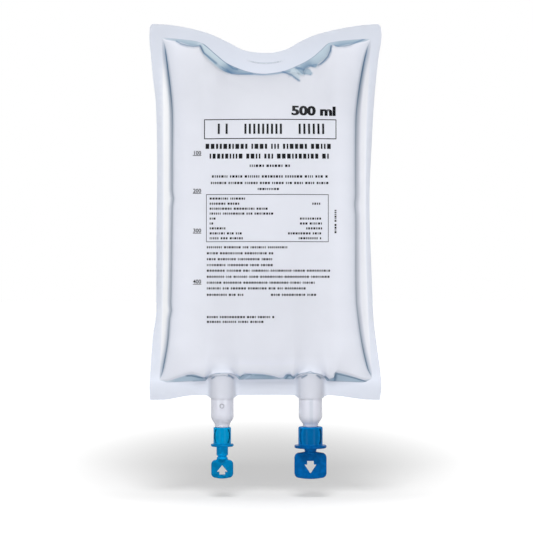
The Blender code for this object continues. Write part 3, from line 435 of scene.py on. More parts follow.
def curve(points, at):
    """A smooth curve through a few (position, value) points in millimetres, read at positions in metres."""
    xs = np.array([p[0] for p in points]) * MM
    ys = np.array([p[1] for p in points]) * MM
    steps = np.diff(ys) / np.diff(xs)
    slopes = np.concatenate([[steps[0]], (steps[:-1] + steps[1:]) / 2, [steps[-1]]])
    for i in range(1, len(slopes) - 1):
        if steps[i - 1] * steps[i] <= 0:
            slopes[i] = 0
        else:
            limit = 2.5 * min(abs(steps[i - 1]), abs(steps[i]))
            slopes[i] = max(-limit, min(limit, slopes[i]))
    at = np.asarray(at, float)
    k = np.clip(np.searchsorted(xs, at) - 1, 0, len(xs) - 2)
    width = xs[k + 1] - xs[k]
    t = np.clip((at - xs[k]) / width, 0, 1)
    return ((2 * t**3 - 3 * t**2 + 1) * ys[k] + (t**3 - 2 * t**2 + t) * width * slopes[k]
            + (3 * t**2 - 2 * t**3) * ys[k + 1] + (t**3 - t**2) * width * slopes[k + 1])


def outer_x(z, side):
    """The film's outer edge at a height, on the left or on the right."""
    return curve(LEFT_EDGE if side < 0 else RIGHT_EDGE, z)


def dome(x):
    """How far the weld's inner edge rises over the ports' ends."""
    rise = 0.0
    for port in PORTS.values():
        s = np.minimum(np.abs(x - port["x"]) / DOME_REACH, 1)
        rise = rise + DOME_RISE * (1 - s**3.2)
    return rise


def weld_top_z(x):
    return curve(WELD_TOP, x)


def weld_bottom_z(x):
    return curve(WELD_BOTTOM, x) + dome(x)


def sleeve(x):
    """How far the film stands off the seam where it wraps a port tube: a circle with a foot on each side."""
    x = np.asarray(x, float)
    off = np.zeros_like(x)
    for port in PORTS.values():
        r = port["radius"] + FIT
        s = np.abs(x - port["x"])
        turn_s = r * math.sin(SLEEVE_TURN)
        turn_y = r * math.cos(SLEEVE_TURN)
        off = np.where(s <= turn_s, np.sqrt(np.maximum(r * r - s * s, 0)), off)
        t = np.clip((s - turn_s) / SLEEVE_FOOT, 0, 1)
        off = np.where((s > turn_s) & (s < turn_s + SLEEVE_FOOT), turn_y * (1 - t) ** 1.7, off)
    return off


def soft_folds(x, z):
    """Low soft folds in the filled film."""
    rise = np.zeros_like(x)
    for (x0, z0), (x1, z1), width, height in SOFT_FOLDS:
        ax, az, bx, bz = x0 * MM, z0 * MM, x1 * MM, z1 * MM
        length = (bx - ax) ** 2 + (bz - az) ** 2
        t = ((x - ax) * (bx - ax) + (z - az) * (bz - az)) / length
        s = np.clip(t, 0, 1)
        gap = np.hypot(x - ax - s * (bx - ax), z - az - s * (bz - az))
        rise += height * MM * np.exp(-(gap / (width * MM)) ** 2) * (1 - 0.6 * s)
    return rise


def filled(x, z, front, half_depth):
    """How far the filled film stands off the seam's plane, without the gathers."""
    left, right = curve(WELD_LEFT, z), curve(WELD_RIGHT, z)
    a = (x - (left + right) / 2) / ((right - left) / 2)
    side = np.maximum(1 - a * a, 0) ** SIDE_POWER
    top = np.clip((weld_top_z(x) - z) / TOP_REACH, 0, 1)
    foot = np.clip((z - weld_bottom_z(x)) / BOTTOM_REACH, 0, 1)
    ends = (1 - (1 - top) ** 2) ** TOP_POWER * (1 - (1 - foot) ** 2) ** BOTTOM_POWER
    body = half_depth * side * ends * (1.0 if front else 0.98)
    fade = 1 - np.clip((z - weld_bottom_z(x)) / SLEEVE_FADE, 0, 1)
    wrap = sleeve(x) * fade * fade * (3 - 2 * fade)
    soft = soft_folds(x, z) * (1.0 if front else -0.8) * np.clip(side * ends * 3 - 0.3, 0, 1)
    return (body**4 + wrap**4) ** 0.25 + soft


def spread(start, end, step):
    """Evenly spaced numbers from start to end, about a step apart."""
    count = max(int(round(abs(end - start) / step)), 1)
    return list(np.linspace(start, end, count + 1))


def port_columns(port, step=RIM_STEP):
    """The places across a sleeve where its points stand."""
    reach = (port["radius"] + FIT) * math.sin(SLEEVE_TURN) + SLEEVE_FOOT
    return [round(x, 7) for x in spread(port["x"] - reach, port["x"] + reach, step)]


def end_positions(points, step, ports):
    """Sample positions along the top or the bottom, with the columns of the sleeves kept."""
    marks = sorted({p[0] * MM for p in points})
    found = []
    for a, b in zip(marks, marks[1:]):
        found += spread(a, b, step)[:-1]
    found.append(marks[-1])
    for port in ports:
        columns = port_columns(port)
        found = [x for x in found if x < columns[0] - 0.5 * step or x > columns[-1] + 0.5 * step] + columns
    return sorted(set(found))


def side_heights(side, step=2.4 * MM):
    line = WELD_LEFT if side < 0 else WELD_RIGHT
    return spread(line[0][0] * MM, line[-1][0] * MM, step)[1:-1]


def rim_end(facets, ports, height):
    """Samples along the top or the bottom of the weld's inner edge."""
    x = np.array(end_positions(facets, RIM_STEP, ports))
    near = np.minimum(x - x[0], x[-1] - x)
    fold = FOLD_CORNER + (FOLD_ENDS - FOLD_CORNER) * np.minimum(near / FOLD_END_RUN, 1)
    return np.stack([x, height(x), curve(facets, x), fold, near, 0 * near], 1)


def rim_side(side, line, facets, width):
    """Samples up a long weld's inner edge."""
    z = np.array(side_heights(side))
    near = np.minimum(z - line[0][0] * MM, line[-1][0] * MM - z)
    fold = FOLD_CORNER + (width - FOLD_CORNER) * np.minimum(near / FOLD_SIDE_RUN, 1)
    return np.stack([curve(line, z), z, curve(facets, z), fold, near, 0 * near + 1], 1)


def rim_samples():
    """The weld's inner edge, clockwise from the top left corner.

    Each row has x, z, the widths of the facet and of the fold, the distance from the nearest corner, and 1 on
    a long weld or 0 elsewhere.
    """
    samples = np.concatenate([
        rim_end(FACET_TOP, [], weld_top_z),
        rim_side(1, WELD_RIGHT, FACET_RIGHT, FOLD_RIGHT)[::-1],
        rim_end(FACET_BOTTOM, PORTS.values(), weld_bottom_z)[::-1],
        rim_side(-1, WELD_LEFT, FACET_LEFT, FOLD_LEFT)])
    limit = 0.45 * MM + 0.5 * samples[:, 4]
    shrink = np.minimum(1, limit / (samples[:, 2] + samples[:, 3]))
    samples[:, 2:4] *= shrink[:, None]
    return samples


def inward(points):
    """Unit vectors into the bag at each point of a clockwise loop, smoothed along it."""
    ahead = np.roll(points, -1, axis=0) - points
    back = points - np.roll(points, 1, axis=0)
    ahead /= np.linalg.norm(ahead, axis=1)[:, None]
    back /= np.linalg.norm(back, axis=1)[:, None]
    tangent = ahead + back
    normal = np.stack([tangent[:, 1], -tangent[:, 0]], axis=1)
    normal /= np.linalg.norm(normal, axis=1)[:, None]
    for _ in range(5):
        normal = normal + 0.5 * (np.roll(normal, 1, axis=0) + np.roll(normal, -1, axis=0))
        normal /= np.linalg.norm(normal, axis=1)[:, None]
    return normal


def corner_points(x, z, side):
    """Three points round a top corner of the film, clockwise."""
    found = []
    for k in (1, 2, 3):
        turn = math.pi / 2 * k / 4
        across, up = (math.sin(turn), math.cos(turn)) if side > 0 else (math.cos(turn), math.sin(turn))
        found.append((x - side * CORNER_ROUND * (1 - across), z - CORNER_ROUND * (1 - up)))
    return found


def outer_loop():
    """The film's cut edge, clockwise from the top left corner."""
    left_x, right_x = LEFT_EDGE[-1][1] * MM, RIGHT_EDGE[-1][1] * MM
    left_top, right_top = float(curve(TOP_EDGE, left_x)), float(curve(TOP_EDGE, right_x))
    left_low, right_low = float(outer_x(LEFT_EDGE[0][0] * MM, -1)), float(outer_x(RIGHT_EDGE[0][0] * MM, 1))
    top = spread(left_x + CORNER_ROUND, right_x - CORNER_ROUND, EDGE_STEP)
    right = [right_top - CORNER_ROUND] + spread(right_top - 5 * MM, EDGE_LOW_Z, BAND_STEP)
    left = spread(EDGE_LOW_Z, left_top - 5 * MM, BAND_STEP) + [left_top - CORNER_ROUND]
    columns = sorted(x for port in PORTS.values() for x in port_columns(port))
    low = [x for x in spread(right_low - EDGE_STEP, left_low + EDGE_STEP, EDGE_STEP)
           if all(abs(x - port["x"]) > port["radius"] + 2.5 * MM for port in PORTS.values())]
    bottom = [(right_low, float(curve(BOTTOM_EDGE, right_low)))]
    for x in sorted(set(low + columns), reverse=True):
        gap = min(max(abs(x - port["x"]) - port["radius"], 0) for port in PORTS.values())
        hug = SLEEVE_HUG * (1 - min(gap / SLEEVE_FLARE, 1)) ** 2
        bottom.append((x, float(curve(BOTTOM_EDGE, x)) - hug))
    bottom.append((left_low, float(curve(BOTTOM_EDGE, left_low))))
    return np.array([(x, float(curve(TOP_EDGE, x))) for x in top] + corner_points(right_x, right_top, 1)
                    + [(float(outer_x(z, 1)), z) for z in right] + bottom
                    + [(float(outer_x(z, -1)), z) for z in left] + corner_points(left_x, left_top, -1))


def slit_loop(gap, reach=1.0):
    """The slit's cut edge: two arcs of one smile with a small gap between them."""
    u = np.linspace(-1, 1, 25)
    x = u * SLIT_LENGTH / 2 * reach
    z = SLIT_TOP_Z - SLIT_DROP * (1 - u * u) ** 0.9
    half = gap / 2 * np.maximum(1 - u**6, 0)
    lower = np.stack([x, z - half], 1)
    upper = np.stack([x, z + half], 1)
    return np.concatenate([lower, upper[-2:0:-1]])


def inside(loop, points):
    """Which points lie inside a loop."""
    x, z = points[:, 0][:, None], points[:, 1][:, None]
    x1, z1 = loop[:, 0][None], loop[:, 1][None]
    x2, z2 = np.roll(loop[:, 0], -1)[None], np.roll(loop[:, 1], -1)[None]
    crossing = (z1 > z) != (z2 > z)
    rise = np.where(z2 == z1, 1, z2 - z1)
    return (np.sum(crossing & (x < (x2 - x1) * (z - z1) / rise + x1), axis=1) % 2).astype(bool)


def away(loop, points):
    """The distance from each point to the nearest point of a loop."""
    gap = points[:, None, :] - loop[None]
    return np.sqrt(np.min(np.sum(gap * gap, axis=2), axis=1))


def triangulate(points, loops, keep):
    """Triangles over the points, with the loops' sides as edges, where keep says so at their middles."""
    edges = []
    for loop in loops:
        edges += list(zip(loop, loop[1:] + loop[:1]))
    found = delaunay_2d_cdt([Vector((p[0] / MM, p[1] / MM)) for p in points], edges, [], 0, 1e-6)
    if len(found[0]) != len(points):
        raise ValueError("the lines of the film cross each other")
    source = np.array([ids[0] for ids in found[3]])
    faces = source[np.array([list(f) for f in found[2]])]
    a, b, c = points[faces[:, 0]], points[faces[:, 1]], points[faces[:, 2]]
    turn = (b[:, 0] - a[:, 0]) * (c[:, 1] - a[:, 1]) - (b[:, 1] - a[:, 1]) * (c[:, 0] - a[:, 0])
    faces[turn < 0] = faces[turn < 0][:, ::-1]
    return faces[keep((a + b + c) / 3)]


def rows_of_points(low, high, step):
    """Staggered rows of points over the bag's plane."""
    found = []
    z, row = low, 0
    while z < high:
        for x in np.arange(-FILM_HALF_WIDTH + (row % 2) * step / 2, FILM_HALF_WIDTH, step):
            found.append((x, z))
        z += step * 0.87
        row += 1
    return np.array(found)


# The rings of points beside the weld: each one's share of the way over the facet, the fold and the rest
RINGS = ([("lip", 0.0, 0.0, 0.0), ("weld", 0.0, 0.0, 0.0)]
         + [(f"facet_{k}", share, 0.0, 0.0)
            for k, share in enumerate((0.06, 0.13, 0.25, 0.38, 0.5, 0.62, 0.75, 0.88))]
         + [("valley", 1.0, 0.0, 0.0)]
         + [(f"wall_{k}", 1.0, share, 0.0)
            for k, share in enumerate((0.14, 0.28, 0.42, 0.56, 0.7, 0.82, 0.92))]
         + [("ridge", 1.0, 1.0, 0.0), ("rest", 1.0, 1.0, 1.0)])
RING = {name: number for number, (name, *_) in enumerate(RINGS)}


def sleeve_points():
    """The welded band's points where it wraps the tubes, in upright columns."""
    return [(x, z) for port in PORTS.values() for x in port_columns(port)
            for z in spread(*SLEEVE_SPAN, SLEEVE_STEP)
            + spread(SLEEVE_FINE_Z, float(weld_bottom_z(x)) - 0.7 * MM, RIM_STEP)]


class FilmLayout:
    """The flat layout of a film: rings beside the weld, the welded band, and the filled middle."""

    def __init__(self, spacing, fine_spacing):
        rim = rim_samples()
        weld, facet, fold = rim[:, :2], rim[:, 2], rim[:, 3]
        rest = np.minimum(1.0 * MM, 0.08 * rim[:, 4]) + 0.25 * MM
        self.n = len(rim)
        self.rim = rim
        normal = inward(weld)
        rings = [weld + normal * (facet * f + fold * g + rest * h)[:, None] for _, f, g, h in RINGS]
        lip, last = weld - normal * LIP_REACH, rings[-1]
        rings[0] = lip
        cut, slit = outer_loop(), slit_loop(SLIT_GAP)
        coarse = rows_of_points(*COARSE_SPAN, spacing)
        fine = np.concatenate([rows_of_points(*span, fine_spacing) for span in FINE_SPANS])
        coarse, fine = coarse[inside(last, coarse)], fine[inside(last, fine)]
        fill = np.concatenate([coarse[away(last, coarse) > 0.7 * spacing],
                               fine[away(last, fine) > 0.6 * fine_spacing]])
        band = rows_of_points(*BAND_SPAN, BAND_STEP)
        band = band[inside(cut, band) & ~inside(lip, band)]
        clear = np.ones(len(band), bool)
        for loop in (cut, lip, slit):
            clear &= away(loop, band) > BAND_CLEAR
        for port in PORTS.values():
            near = np.abs(band[:, 0] - port["x"]) < port["radius"] + SLEEVE_ROOM
            clear &= ~(near & (band[:, 1] < LOWER_Z))
        columns = sleeve_points()
        round_slit = slit_loop(SLIT_GAP + 0.8 * MM, reach=1.04)
        band = np.concatenate([band[clear], round_slit, np.array(columns)])
        groups = rings + [cut, slit, band, fill]
        starts = np.cumsum([0] + [len(g) for g in groups])
        self.points = np.concatenate(groups)
        ids = [np.arange(a, b) for a, b in zip(starts, starts[1:])]
        lip_ids, last_ids = ids[0], ids[len(rings) - 1]
        cut_ids, slit_ids, band_ids, fill_ids = ids[len(rings):]
        self.first_free = starts[len(rings)]
        self.slit = slit_ids
        self.columns = band_ids[-len(columns):]
        self.fill_start = starts[len(rings) + 3]

        outer_ids = np.concatenate([lip_ids, cut_ids, slit_ids, band_ids])
        n, c, s = len(lip_ids), len(cut_ids), len(slit_ids)
        loops = [list(range(n)), list(range(n, n + c)), list(range(n + c, n + c + s))]
        self.band_faces = outer_ids[triangulate(
            self.points[outer_ids], loops, lambda p: inside(cut, p) & ~inside(lip, p) & ~inside(slit, p))]
        inner_ids = np.concatenate([last_ids, fill_ids])
        self.fill_faces = inner_ids[triangulate(
            self.points[inner_ids], [list(range(n))], lambda p: inside(last, p))]
        here = np.arange(n)
        there = (here + 1) % n
        strips = []
        for ring in range(len(rings) - 1):
            a, b = ring * n + here, ring * n + there
            strips += [np.stack([a, a + n, b + n], 1), np.stack([a, b + n, b], 1)]
        self.ring_faces = np.concatenate(strips)

    def ring(self, name):
        """The points of one ring, as a slice."""
        return slice(RING[name] * self.n, (RING[name] + 1) * self.n)

    def depth(self, front, half_depth):
        """How far the film's inner side stands off the seam at each point."""
        x, z = self.points[:, 0], self.points[:, 1]
        depth = filled(x, z, front, half_depth)
        base = np.where(self.rim[:, 1] < LOWER_Z, sleeve(self.rim[:, 0]), 0)
        facet = self.rim[:, 2]
        rise = FACET_SLOPE * np.minimum(facet, FACET_FLAT) + FACET_CLIMB * np.maximum(facet - FACET_FLAT, 0)
        valley = np.minimum((base**3 + (rise + 0.15 * MM) ** 3) ** (1 / 3),
                            np.maximum(depth[self.ring("valley")], base + 0.02 * MM))
        for name, f, g, _ in RINGS:
            here = self.ring(name)
            if g == 0:
                depth[here] = base + (valley - base) * f**1.15
            elif g < 1:
                depth[here] = valley + (depth[here] - valley) * g**1.35
        free = slice(self.first_free, self.fill_start)
        depth[free] = np.where(z[free] < LOWER_Z, sleeve(x[free]), 0)
        return depth

    def seam(self, curl):
        """The seam's own surface: flat at the ends, with the long welds curling back at mid-height."""
        x, z = self.points[:, 0], self.points[:, 1]
        inner = np.where(x < 0, curve(WELD_LEFT, z), curve(WELD_RIGHT, z))
        outer = np.where(x < 0, outer_x(z, -1), outer_x(z, 1))
        share = (x - inner) / (outer - inner)
        along = 1 - np.minimum(np.abs((z - CURL_Z) / CURL_REACH), 1) ** 2
        narrow = np.minimum(np.abs(outer - inner) / CURL_WIDTH, 1)
        back = curl * narrow * np.maximum(share, 0) ** 1.2 * along
        back[self.n:self.first_free] = 0
        back[self.fill_start:] = 0
        return np.where(share < 1.2, back, 0)

    def tones(self):
        """How much of the weld colour, the strip's painted highlight and the painted shade of facets and
        folds each point takes, and the film's painted light and shade.
        """
        facet, fold, strip, weld = (np.zeros(len(self.points)) for _ in range(4))
        x, z, width, long = self.rim[:, 0], self.rim[:, 1], self.rim[:, 2], self.rim[:, 5] > 0
        shade = np.where(z > LOWER_Z, curve(TOP_SHADE, x), curve(BOTTOM_SHADE, x)) / MM
        line = np.where(z > LOWER_Z, curve(TOP_LINE, x), curve(BOTTOM_LINE, x)) / MM
        side = np.where(x < 0, curve(CREASE_LEFT, z), curve(CREASE_RIGHT, z)) / MM
        pale = np.where(x < 0, 1.0, STRIP_RIGHT) * curve(PALE_STRIP, z) / MM
        wide = np.clip(width / (1.6 * MM), 0, 1) * (shade > 0)
        for name, f, g, h in RINGS:
            here = self.ring(name)
            inner = max(1 - 1.6 * g, 0) if f else 0
            facet[here] = np.where(long, 0, inner * min(f / 0.12, 1) * wide)
            across = f if g == 0 else 1 + g
            end_fold = shade * inner * (0.65 + 0.35 * f)
            off = (self.rim[:, 3] * (1 - g) + self.rim[:, 2] * (1 - f)) / MM
            side_fold = side * np.interp(off, *CREASE_FADE)
            if name != "lip":
                reach = (self.rim[:, 2] * f + self.rim[:, 3] * g) / LINE_REACH
                end_fold = np.maximum(end_fold, line * np.exp(-(reach**2)))
            fold[here] = np.where(long, side_fold * (f > 0), end_fold) * (h == 0)
            strip[here] = np.where(long, pale * np.interp(across, *STRIP_FADE), 0)
        fold = np.maximum(fold, 0)
        # Painted shade on the filled film beside the long creases' ridge
        gap = away(self.points[self.ring("ridge")][long], self.points)
        margin = MARGIN_SHADE * np.exp(-gap / MARGIN_SHADE_REACH)
        for here in (self.ring("rest"), slice(self.fill_start, None)):
            fold[here] = np.maximum(fold[here], margin[here])
        within = np.ones(len(self.points), bool)
        within[self.first_free:self.fill_start] = False
        within[self.columns] = True
        within[self.ring("lip")] = False
        # Painted shade of the small folded-over leaves
        for outline, pale_share, dark_share in LEAVES:
            leaf = inside(np.array(outline) * MM, self.points) & within
            facet[leaf] = pale_share
            fold[leaf] = dark_share
        # Painted shade and painted highlights along the creases
        lines = crease_lines(self.points) * within
        fold = np.clip(fold + lines * (1 - np.clip(fold, 0, 1) * (lines > 0)), 0, 1)
        weld[self.first_free:self.fill_start] = 1
        weld[self.ring("lip")] = 1
        weld[self.ring("weld")] = 0.5
        # Painted shade along the slit, fading at its ends
        ends = np.clip((SLIT_LENGTH / 2 - np.abs(self.points[self.slit, 0])) / (3 * MM) - 0.25, 0, 1)
        fold[self.slit] = SLIT_SHADE * ends
        # Painted light and shade on the film by height and across, and on the welded band
        across, height = self.points.T / MM
        share, tone, wide_tone, weld_tone = (
            np.interp(at, *zip(*table)) for at, table in ((height, ACROSS_SHARE), (height, FILLED_LIGHT_SHADE),
                                                          (across, ACROSS_LIGHT_SHADE), (height, WELD_LIGHT_SHADE)))
        tone *= 1 + share * (wide_tone - 1)
        tone += (weld_tone - tone) * weld
        return {"facet": facet, "fold": fold, "strip": strip, "weld": weld, "tone": tone}


def crease_lines(points):
    """How dark the painted shade of the creases makes each point: the darkest line within reach, and lighter
    along the painted highlights of pale ones.
    """
    dark, light = np.zeros(len(points)), np.zeros(len(points))
    for line, half, strength in CREASES:
        gap = np.full(len(points), 1.0)
        for (x0, z0), (x1, z1) in zip(line, line[1:]):
            along, up = (x1 - x0) * MM, (z1 - z0) * MM
            right, high = points[:, 0] - x0 * MM, points[:, 1] - z0 * MM
            t = np.clip((right * along + high * up) / (along**2 + up**2), 0, 1)
            gap = np.minimum(gap, np.hypot(right - t * along, high - t * up))
        depth = abs(strength) * np.exp(-(gap / (half * MM)) ** 2)
        if strength > 0:
            dark = np.maximum(dark, depth)
        else:
            light = np.maximum(light, depth)
    return dark - light


def linked(name, data):
    """A new object of the scene."""
    obj = bpy.data.objects.new(name, data)
    bpy.context.scene.collection.objects.link(obj)
    return obj


def mesh_piece(name, verts, faces, smooth=True):
    mesh = bpy.data.meshes.new(name)
    mesh.from_pydata([tuple(map(float, v)) for v in verts], [], [tuple(map(int, f)) for f in faces])
    mesh.validate()
    mesh.update()
    if smooth:
        mesh.shade_smooth()
    return linked(name, mesh)


def formed_piece(name, form):
    """A piece made of a bmesh, which is freed."""
    mesh = bpy.data.meshes.new(name)
    form.to_mesh(mesh)
    form.free()
    return linked(name, mesh)


def evaluated_mesh(obj):
    """A plain mesh of the object as its modifiers or its letters make it."""
    graph = bpy.context.evaluated_depsgraph_get()
    graph.update()
    return bpy.data.meshes.new_from_object(obj.evaluated_get(graph))


def applied(obj):
    """The object with its modifiers made part of its mesh."""
    mesh = evaluated_mesh(obj)
    obj.modifiers.clear()
    obj.data = mesh
    mesh.name = obj.name
    return obj


def coated(obj, material):
    """The object with one material all over."""
    obj.data.materials.clear()
    obj.data.materials.append(material)
    return obj


def at_origin(obj):
    """The object's place moved into its mesh."""
    bpy.context.view_layer.update()
    obj.data.transform(obj.matrix_world)
    obj.matrix_world.identity()
    return obj


def turned(name, profile, x, steps):
    """A turned solid: a closed profile of (radius, height), swept round an upright axis at x."""
    verts = [(r, 0, z) for r, z in profile]
    edges = [(i, (i + 1) % len(verts)) for i in range(len(verts))
             if not (verts[i][0] == 0 and verts[(i + 1) % len(verts)][0] == 0)]
    mesh = bpy.data.meshes.new(name)
    mesh.from_pydata(verts, edges, [])
    obj = linked(name, mesh)
    screw = obj.modifiers.new("turn", "SCREW")
    screw.axis = "Z"
    screw.angle = math.tau
    screw.steps = steps
    screw.render_steps = steps
    screw.use_merge_vertices = True
    screw.merge_threshold = 0.01 * MM
    applied(obj)
    obj.location = (x, 0, 0)
    return at_origin(obj)


def rounded(profile, radii, sides=4):
    """A profile with its corners rounded by radii in millimetres, 0 for a sharp one."""
    found = []
    count = len(profile)
    for i, (point, radius) in enumerate(zip(profile, radii)):
        here = Vector(point)
        before, after = Vector(profile[i - 1]) - here, Vector(profile[(i + 1) % count]) - here
        if radius <= 0:
            found.append(tuple(here))
            continue
        reach = min(radius * MM, before.length * 0.45, after.length * 0.45)
        a, b = here + before.normalized() * reach, here + after.normalized() * reach
        for k in range(sides + 1):
            t = k / sides
            found.append(tuple(a * (1 - t) ** 2 + here * (2 * t * (1 - t)) + b * t * t))
    return found


def plate(name, outline, half):
    """A flat outline in X and Z, extruded along Y by half on each side of the seam."""
    form = bmesh.new()
    face = form.faces.new([form.verts.new((x, -half, z)) for x, z in outline])
    moved = bmesh.ops.extrude_face_region(form, geom=[face])
    for vert in [v for v in moved["geom"] if isinstance(v, bmesh.types.BMVert)]:
        vert.co.y = half
    bmesh.ops.recalc_face_normals(form, faces=form.faces[:])
    return formed_piece(name, form)


def combine(obj, other, operation):
    """A Boolean of two pieces, applied, with the second one removed."""
    step = obj.modifiers.new("combine", "BOOLEAN")
    step.operation = operation
    step.object = other
    step.solver = "EXACT"
    applied(obj)
    bpy.data.objects.remove(other, do_unlink=True)
    return obj


def levels(port):
    """The heights of a port and its cap, worked down from the tube's open end in the bag."""
    z = {"taper": PORT_TOP_Z - BARREL_LENGTH}
    z["neck"] = z["taper"] - TAPER_LENGTH
    z["cap"] = z["neck"] - port["neck_length"]
    z["seat"] = z["cap"] + FIT
    z["spigot"] = z["cap"] - SPIGOT_LENGTH
    z["septum"] = z["spigot"] - FIT
    z["floor"] = z["septum"] - SEPTUM_THICK - FIT
    z["flange"] = z["cap"] - port["cap_length"]
    z["stem"] = z["flange"] - port["flange_thick"]
    z["waist"] = z["stem"] - port["stem_length"]
    z["shoulder"] = z["waist"] - port["waist_length"] - port["shoulder_length"]
    z["tab"] = z["shoulder"] + 0.3 * MM
    z["tab_end"] = z["tab"] - port["tab_length"]
    return z


def feed(tree, node, inputs):
    """Links each input that is given another node's output, and sets the others."""
    for label, value in inputs.items():
        if isinstance(value, bpy.types.NodeSocket):
            tree.links.new(value, node.inputs[label])
        else:
            node.inputs[label].default_value = value
    return node


def add_node(tree, kind, inputs, **traits):
    """A new node with its traits set and its inputs fed."""
    node = tree.nodes.new(kind)
    for trait, value in traits.items():
        setattr(node, trait, value)
    return feed(tree, node, inputs)


def calc(tree, operation, *values):
    """The result of a Math node."""
    return add_node(tree, "ShaderNodeMath", dict(enumerate(values)), operation=operation).outputs[0]


def vector_calc(tree, operation, inputs):
    """The result of a Vector Math node."""
    node = add_node(tree, "ShaderNodeVectorMath", inputs, operation=operation)
    return node.outputs["Value" if operation == "LENGTH" else "Vector"]


def mapped(tree, value, span, result, smooth=False):
    """A value moved from one span to another, each given as its start and end."""
    way = "SMOOTHSTEP" if smooth else "LINEAR"
    inputs = {"Value": value, "From Min": span[0], "From Max": span[1], "To Min": result[0],
              "To Max": result[1]}
    return add_node(tree, "ShaderNodeMapRange", inputs, interpolation_type=way).outputs["Result"]


def mixed(tree, share, first, second):
    """A mix of two colours."""
    inputs = {"Factor": share, "A": first, "B": second}
    return add_node(tree, "ShaderNodeMix", inputs, data_type="RGBA").outputs["Result"]


def object_place(tree):
    """Each point's place on the object."""
    return tree.nodes.new("ShaderNodeTexCoord").outputs["Object"]


def split(tree, vector):
    """The X, Y and Z of a vector."""
    return add_node(tree, "ShaderNodeSeparateXYZ", {"Vector": vector}).outputs


def noise(tree, place, scale, detail):
    """Cloudy values round a half."""
    inputs = {"Vector": place, "Scale": scale, "Detail": detail}
    return add_node(tree, "ShaderNodeTexNoise", inputs).outputs["Fac"]


def mark(tree, label):
    """A value marked on the mesh."""
    return add_node(tree, "ShaderNodeAttribute", {}, attribute_name=label).outputs["Fac"]


def shared_group(name, inputs, outputs, build):
    """A shader node group, made once: build takes the tree and the group's inputs and gives its results."""
    if name in bpy.data.node_groups:
        return bpy.data.node_groups[name]
    group = bpy.data.node_groups.new(name, "ShaderNodeTree")
    for label, value in inputs.items():
        kind = "NodeSocketFloat" if isinstance(value, float) else "NodeSocketColor"
        group.interface.new_socket(label, in_out="INPUT", socket_type=kind).default_value = value
    for label in outputs:
        kind = "NodeSocketColor" if label == "Color" else "NodeSocketFloat"
        group.interface.new_socket(label, in_out="OUTPUT", socket_type=kind)
    add_node(group, "NodeGroupOutput", build(group, group.nodes.new("NodeGroupInput").outputs))
    return group


def place_group(tree, group, inputs):
    """A copy of a node group, fed."""
    return add_node(tree, "ShaderNodeGroup", inputs, node_tree=group).outputs


def grain_group():
    """Fine unevenness of moulded and drawn plastic: a mask for roughness and a height for bumps."""
    def build(tree, given):
        fine = noise(tree, object_place(tree), given["Scale"], 3)
        shift = calc(tree, "SUBTRACT", fine, 0.5)
        rough = calc(tree, "MULTIPLY_ADD", shift, given["Spread"], given["Roughness"])
        return {"Roughness": rough, "Height": fine}

    inputs = {"Scale": 900.0, "Roughness": 0.3, "Spread": 0.1}
    return shared_group("plastic_grain", inputs, ("Roughness", "Height"), build)


def film_tone_group():
    """The film's colour by the marks on the mesh: weld colour, painted light and shade, the strip's painted
    highlight, painted shade of facets and folds, lighter over tubes.
    """
    def build(tree, given):
        place = object_place(tree)
        cloud = noise(tree, place, 55, 2)
        high = calc(tree, "GREATER_THAN", split(tree, place)["Z"], LOWER_Z)
        facet = mixed(tree, high, given["Low facet"], given["Facet"])
        tone = mixed(tree, mark(tree, "weld"), given["Film"], given["Weld"])
        # Painted light and shade from the tone mark
        tone = vector_calc(tree, "SCALE", {0: tone, "Scale": mark(tree, "tone")})
        for label, colour in (("strip", given["Strip"]), ("facet", facet), ("clear", given["Clear"]),
                              ("fold", given["Fold"])):
            tone = mixed(tree, mark(tree, label), tone, colour)
        cloud = mapped(tree, cloud, (0, 1), (0.97, 1.03))
        return {"Color": vector_calc(tree, "SCALE", {0: tone, "Scale": cloud})}

    return shared_group("film_tone", {label: MID_GREY for label in FILM_COLOURS}, ("Color",), build)


def tube_band_group():
    """A colour with a faint blue-grey band up the tube, at Middle."""
    def build(tree, given):
        gap = calc(tree, "SUBTRACT", split(tree, object_place(tree))["X"], given["Middle"])
        share = mapped(tree, calc(tree, "ABSOLUTE", gap), (0.6 * MM, 1.4 * MM), (0.35, 0), True)
        return {"Color": mixed(tree, share, given["Color"], TUBE_BAND_COLOUR)}

    return shared_group("tube_band", {"Color": MID_GREY, "Middle": 0.0}, ("Color",), build)


def oval_group():
    """The bowed grooves of a cap's sleeve: a mask for the painted shade along them and one for the painted
    shade of the panel between them.
    """
    def build(tree, given):
        def get(operation, *values):
            return calc(tree, operation, *values)

        place = split(tree, object_place(tree))
        x = get("SUBTRACT", place["X"], given["Middle X"])
        z = get("SUBTRACT", place["Z"], given["Middle Z"])
        across, up = get("DIVIDE", x, given["Reach"]), get("DIVIDE", z, given["Height"])
        far = get("SQRT", get("ADD", get("MULTIPLY", across, across), get("MULTIPLY", up, up)))
        room = get("LESS_THAN", get("ABSOLUTE", z), given["Room"])
        off = get("DIVIDE", get("ABSOLUTE", get("SUBTRACT", far, 1.1)), given["Width"])
        line = get("MAXIMUM", get("SUBTRACT", 1.0, off), 0.0)
        # The painted shade along the grooves is full on the right and scaled by Left on the left
        share = get("MAXIMUM", get("GREATER_THAN", x, 0.0), given["Left"])
        panel = get("MINIMUM", get("MAXIMUM", get("MULTIPLY", get("SUBTRACT", 1.0, far), 4.0), 0.0), 1.0)
        return {"Lines": get("MULTIPLY", get("MULTIPLY", line, share), room),
                "Panel": get("MULTIPLY", panel, room)}

    inputs = {"Middle X": 0.0, "Middle Z": 0.0, "Reach": 0.004, "Height": 0.006, "Room": 0.004, "Width": 0.15,
              "Left": 1.0}
    return shared_group("cap_oval", inputs, ("Lines", "Panel"), build)


def new_material(name):
    material = bpy.data.materials.new(name)
    material.use_nodes = True
    return material, material.node_tree


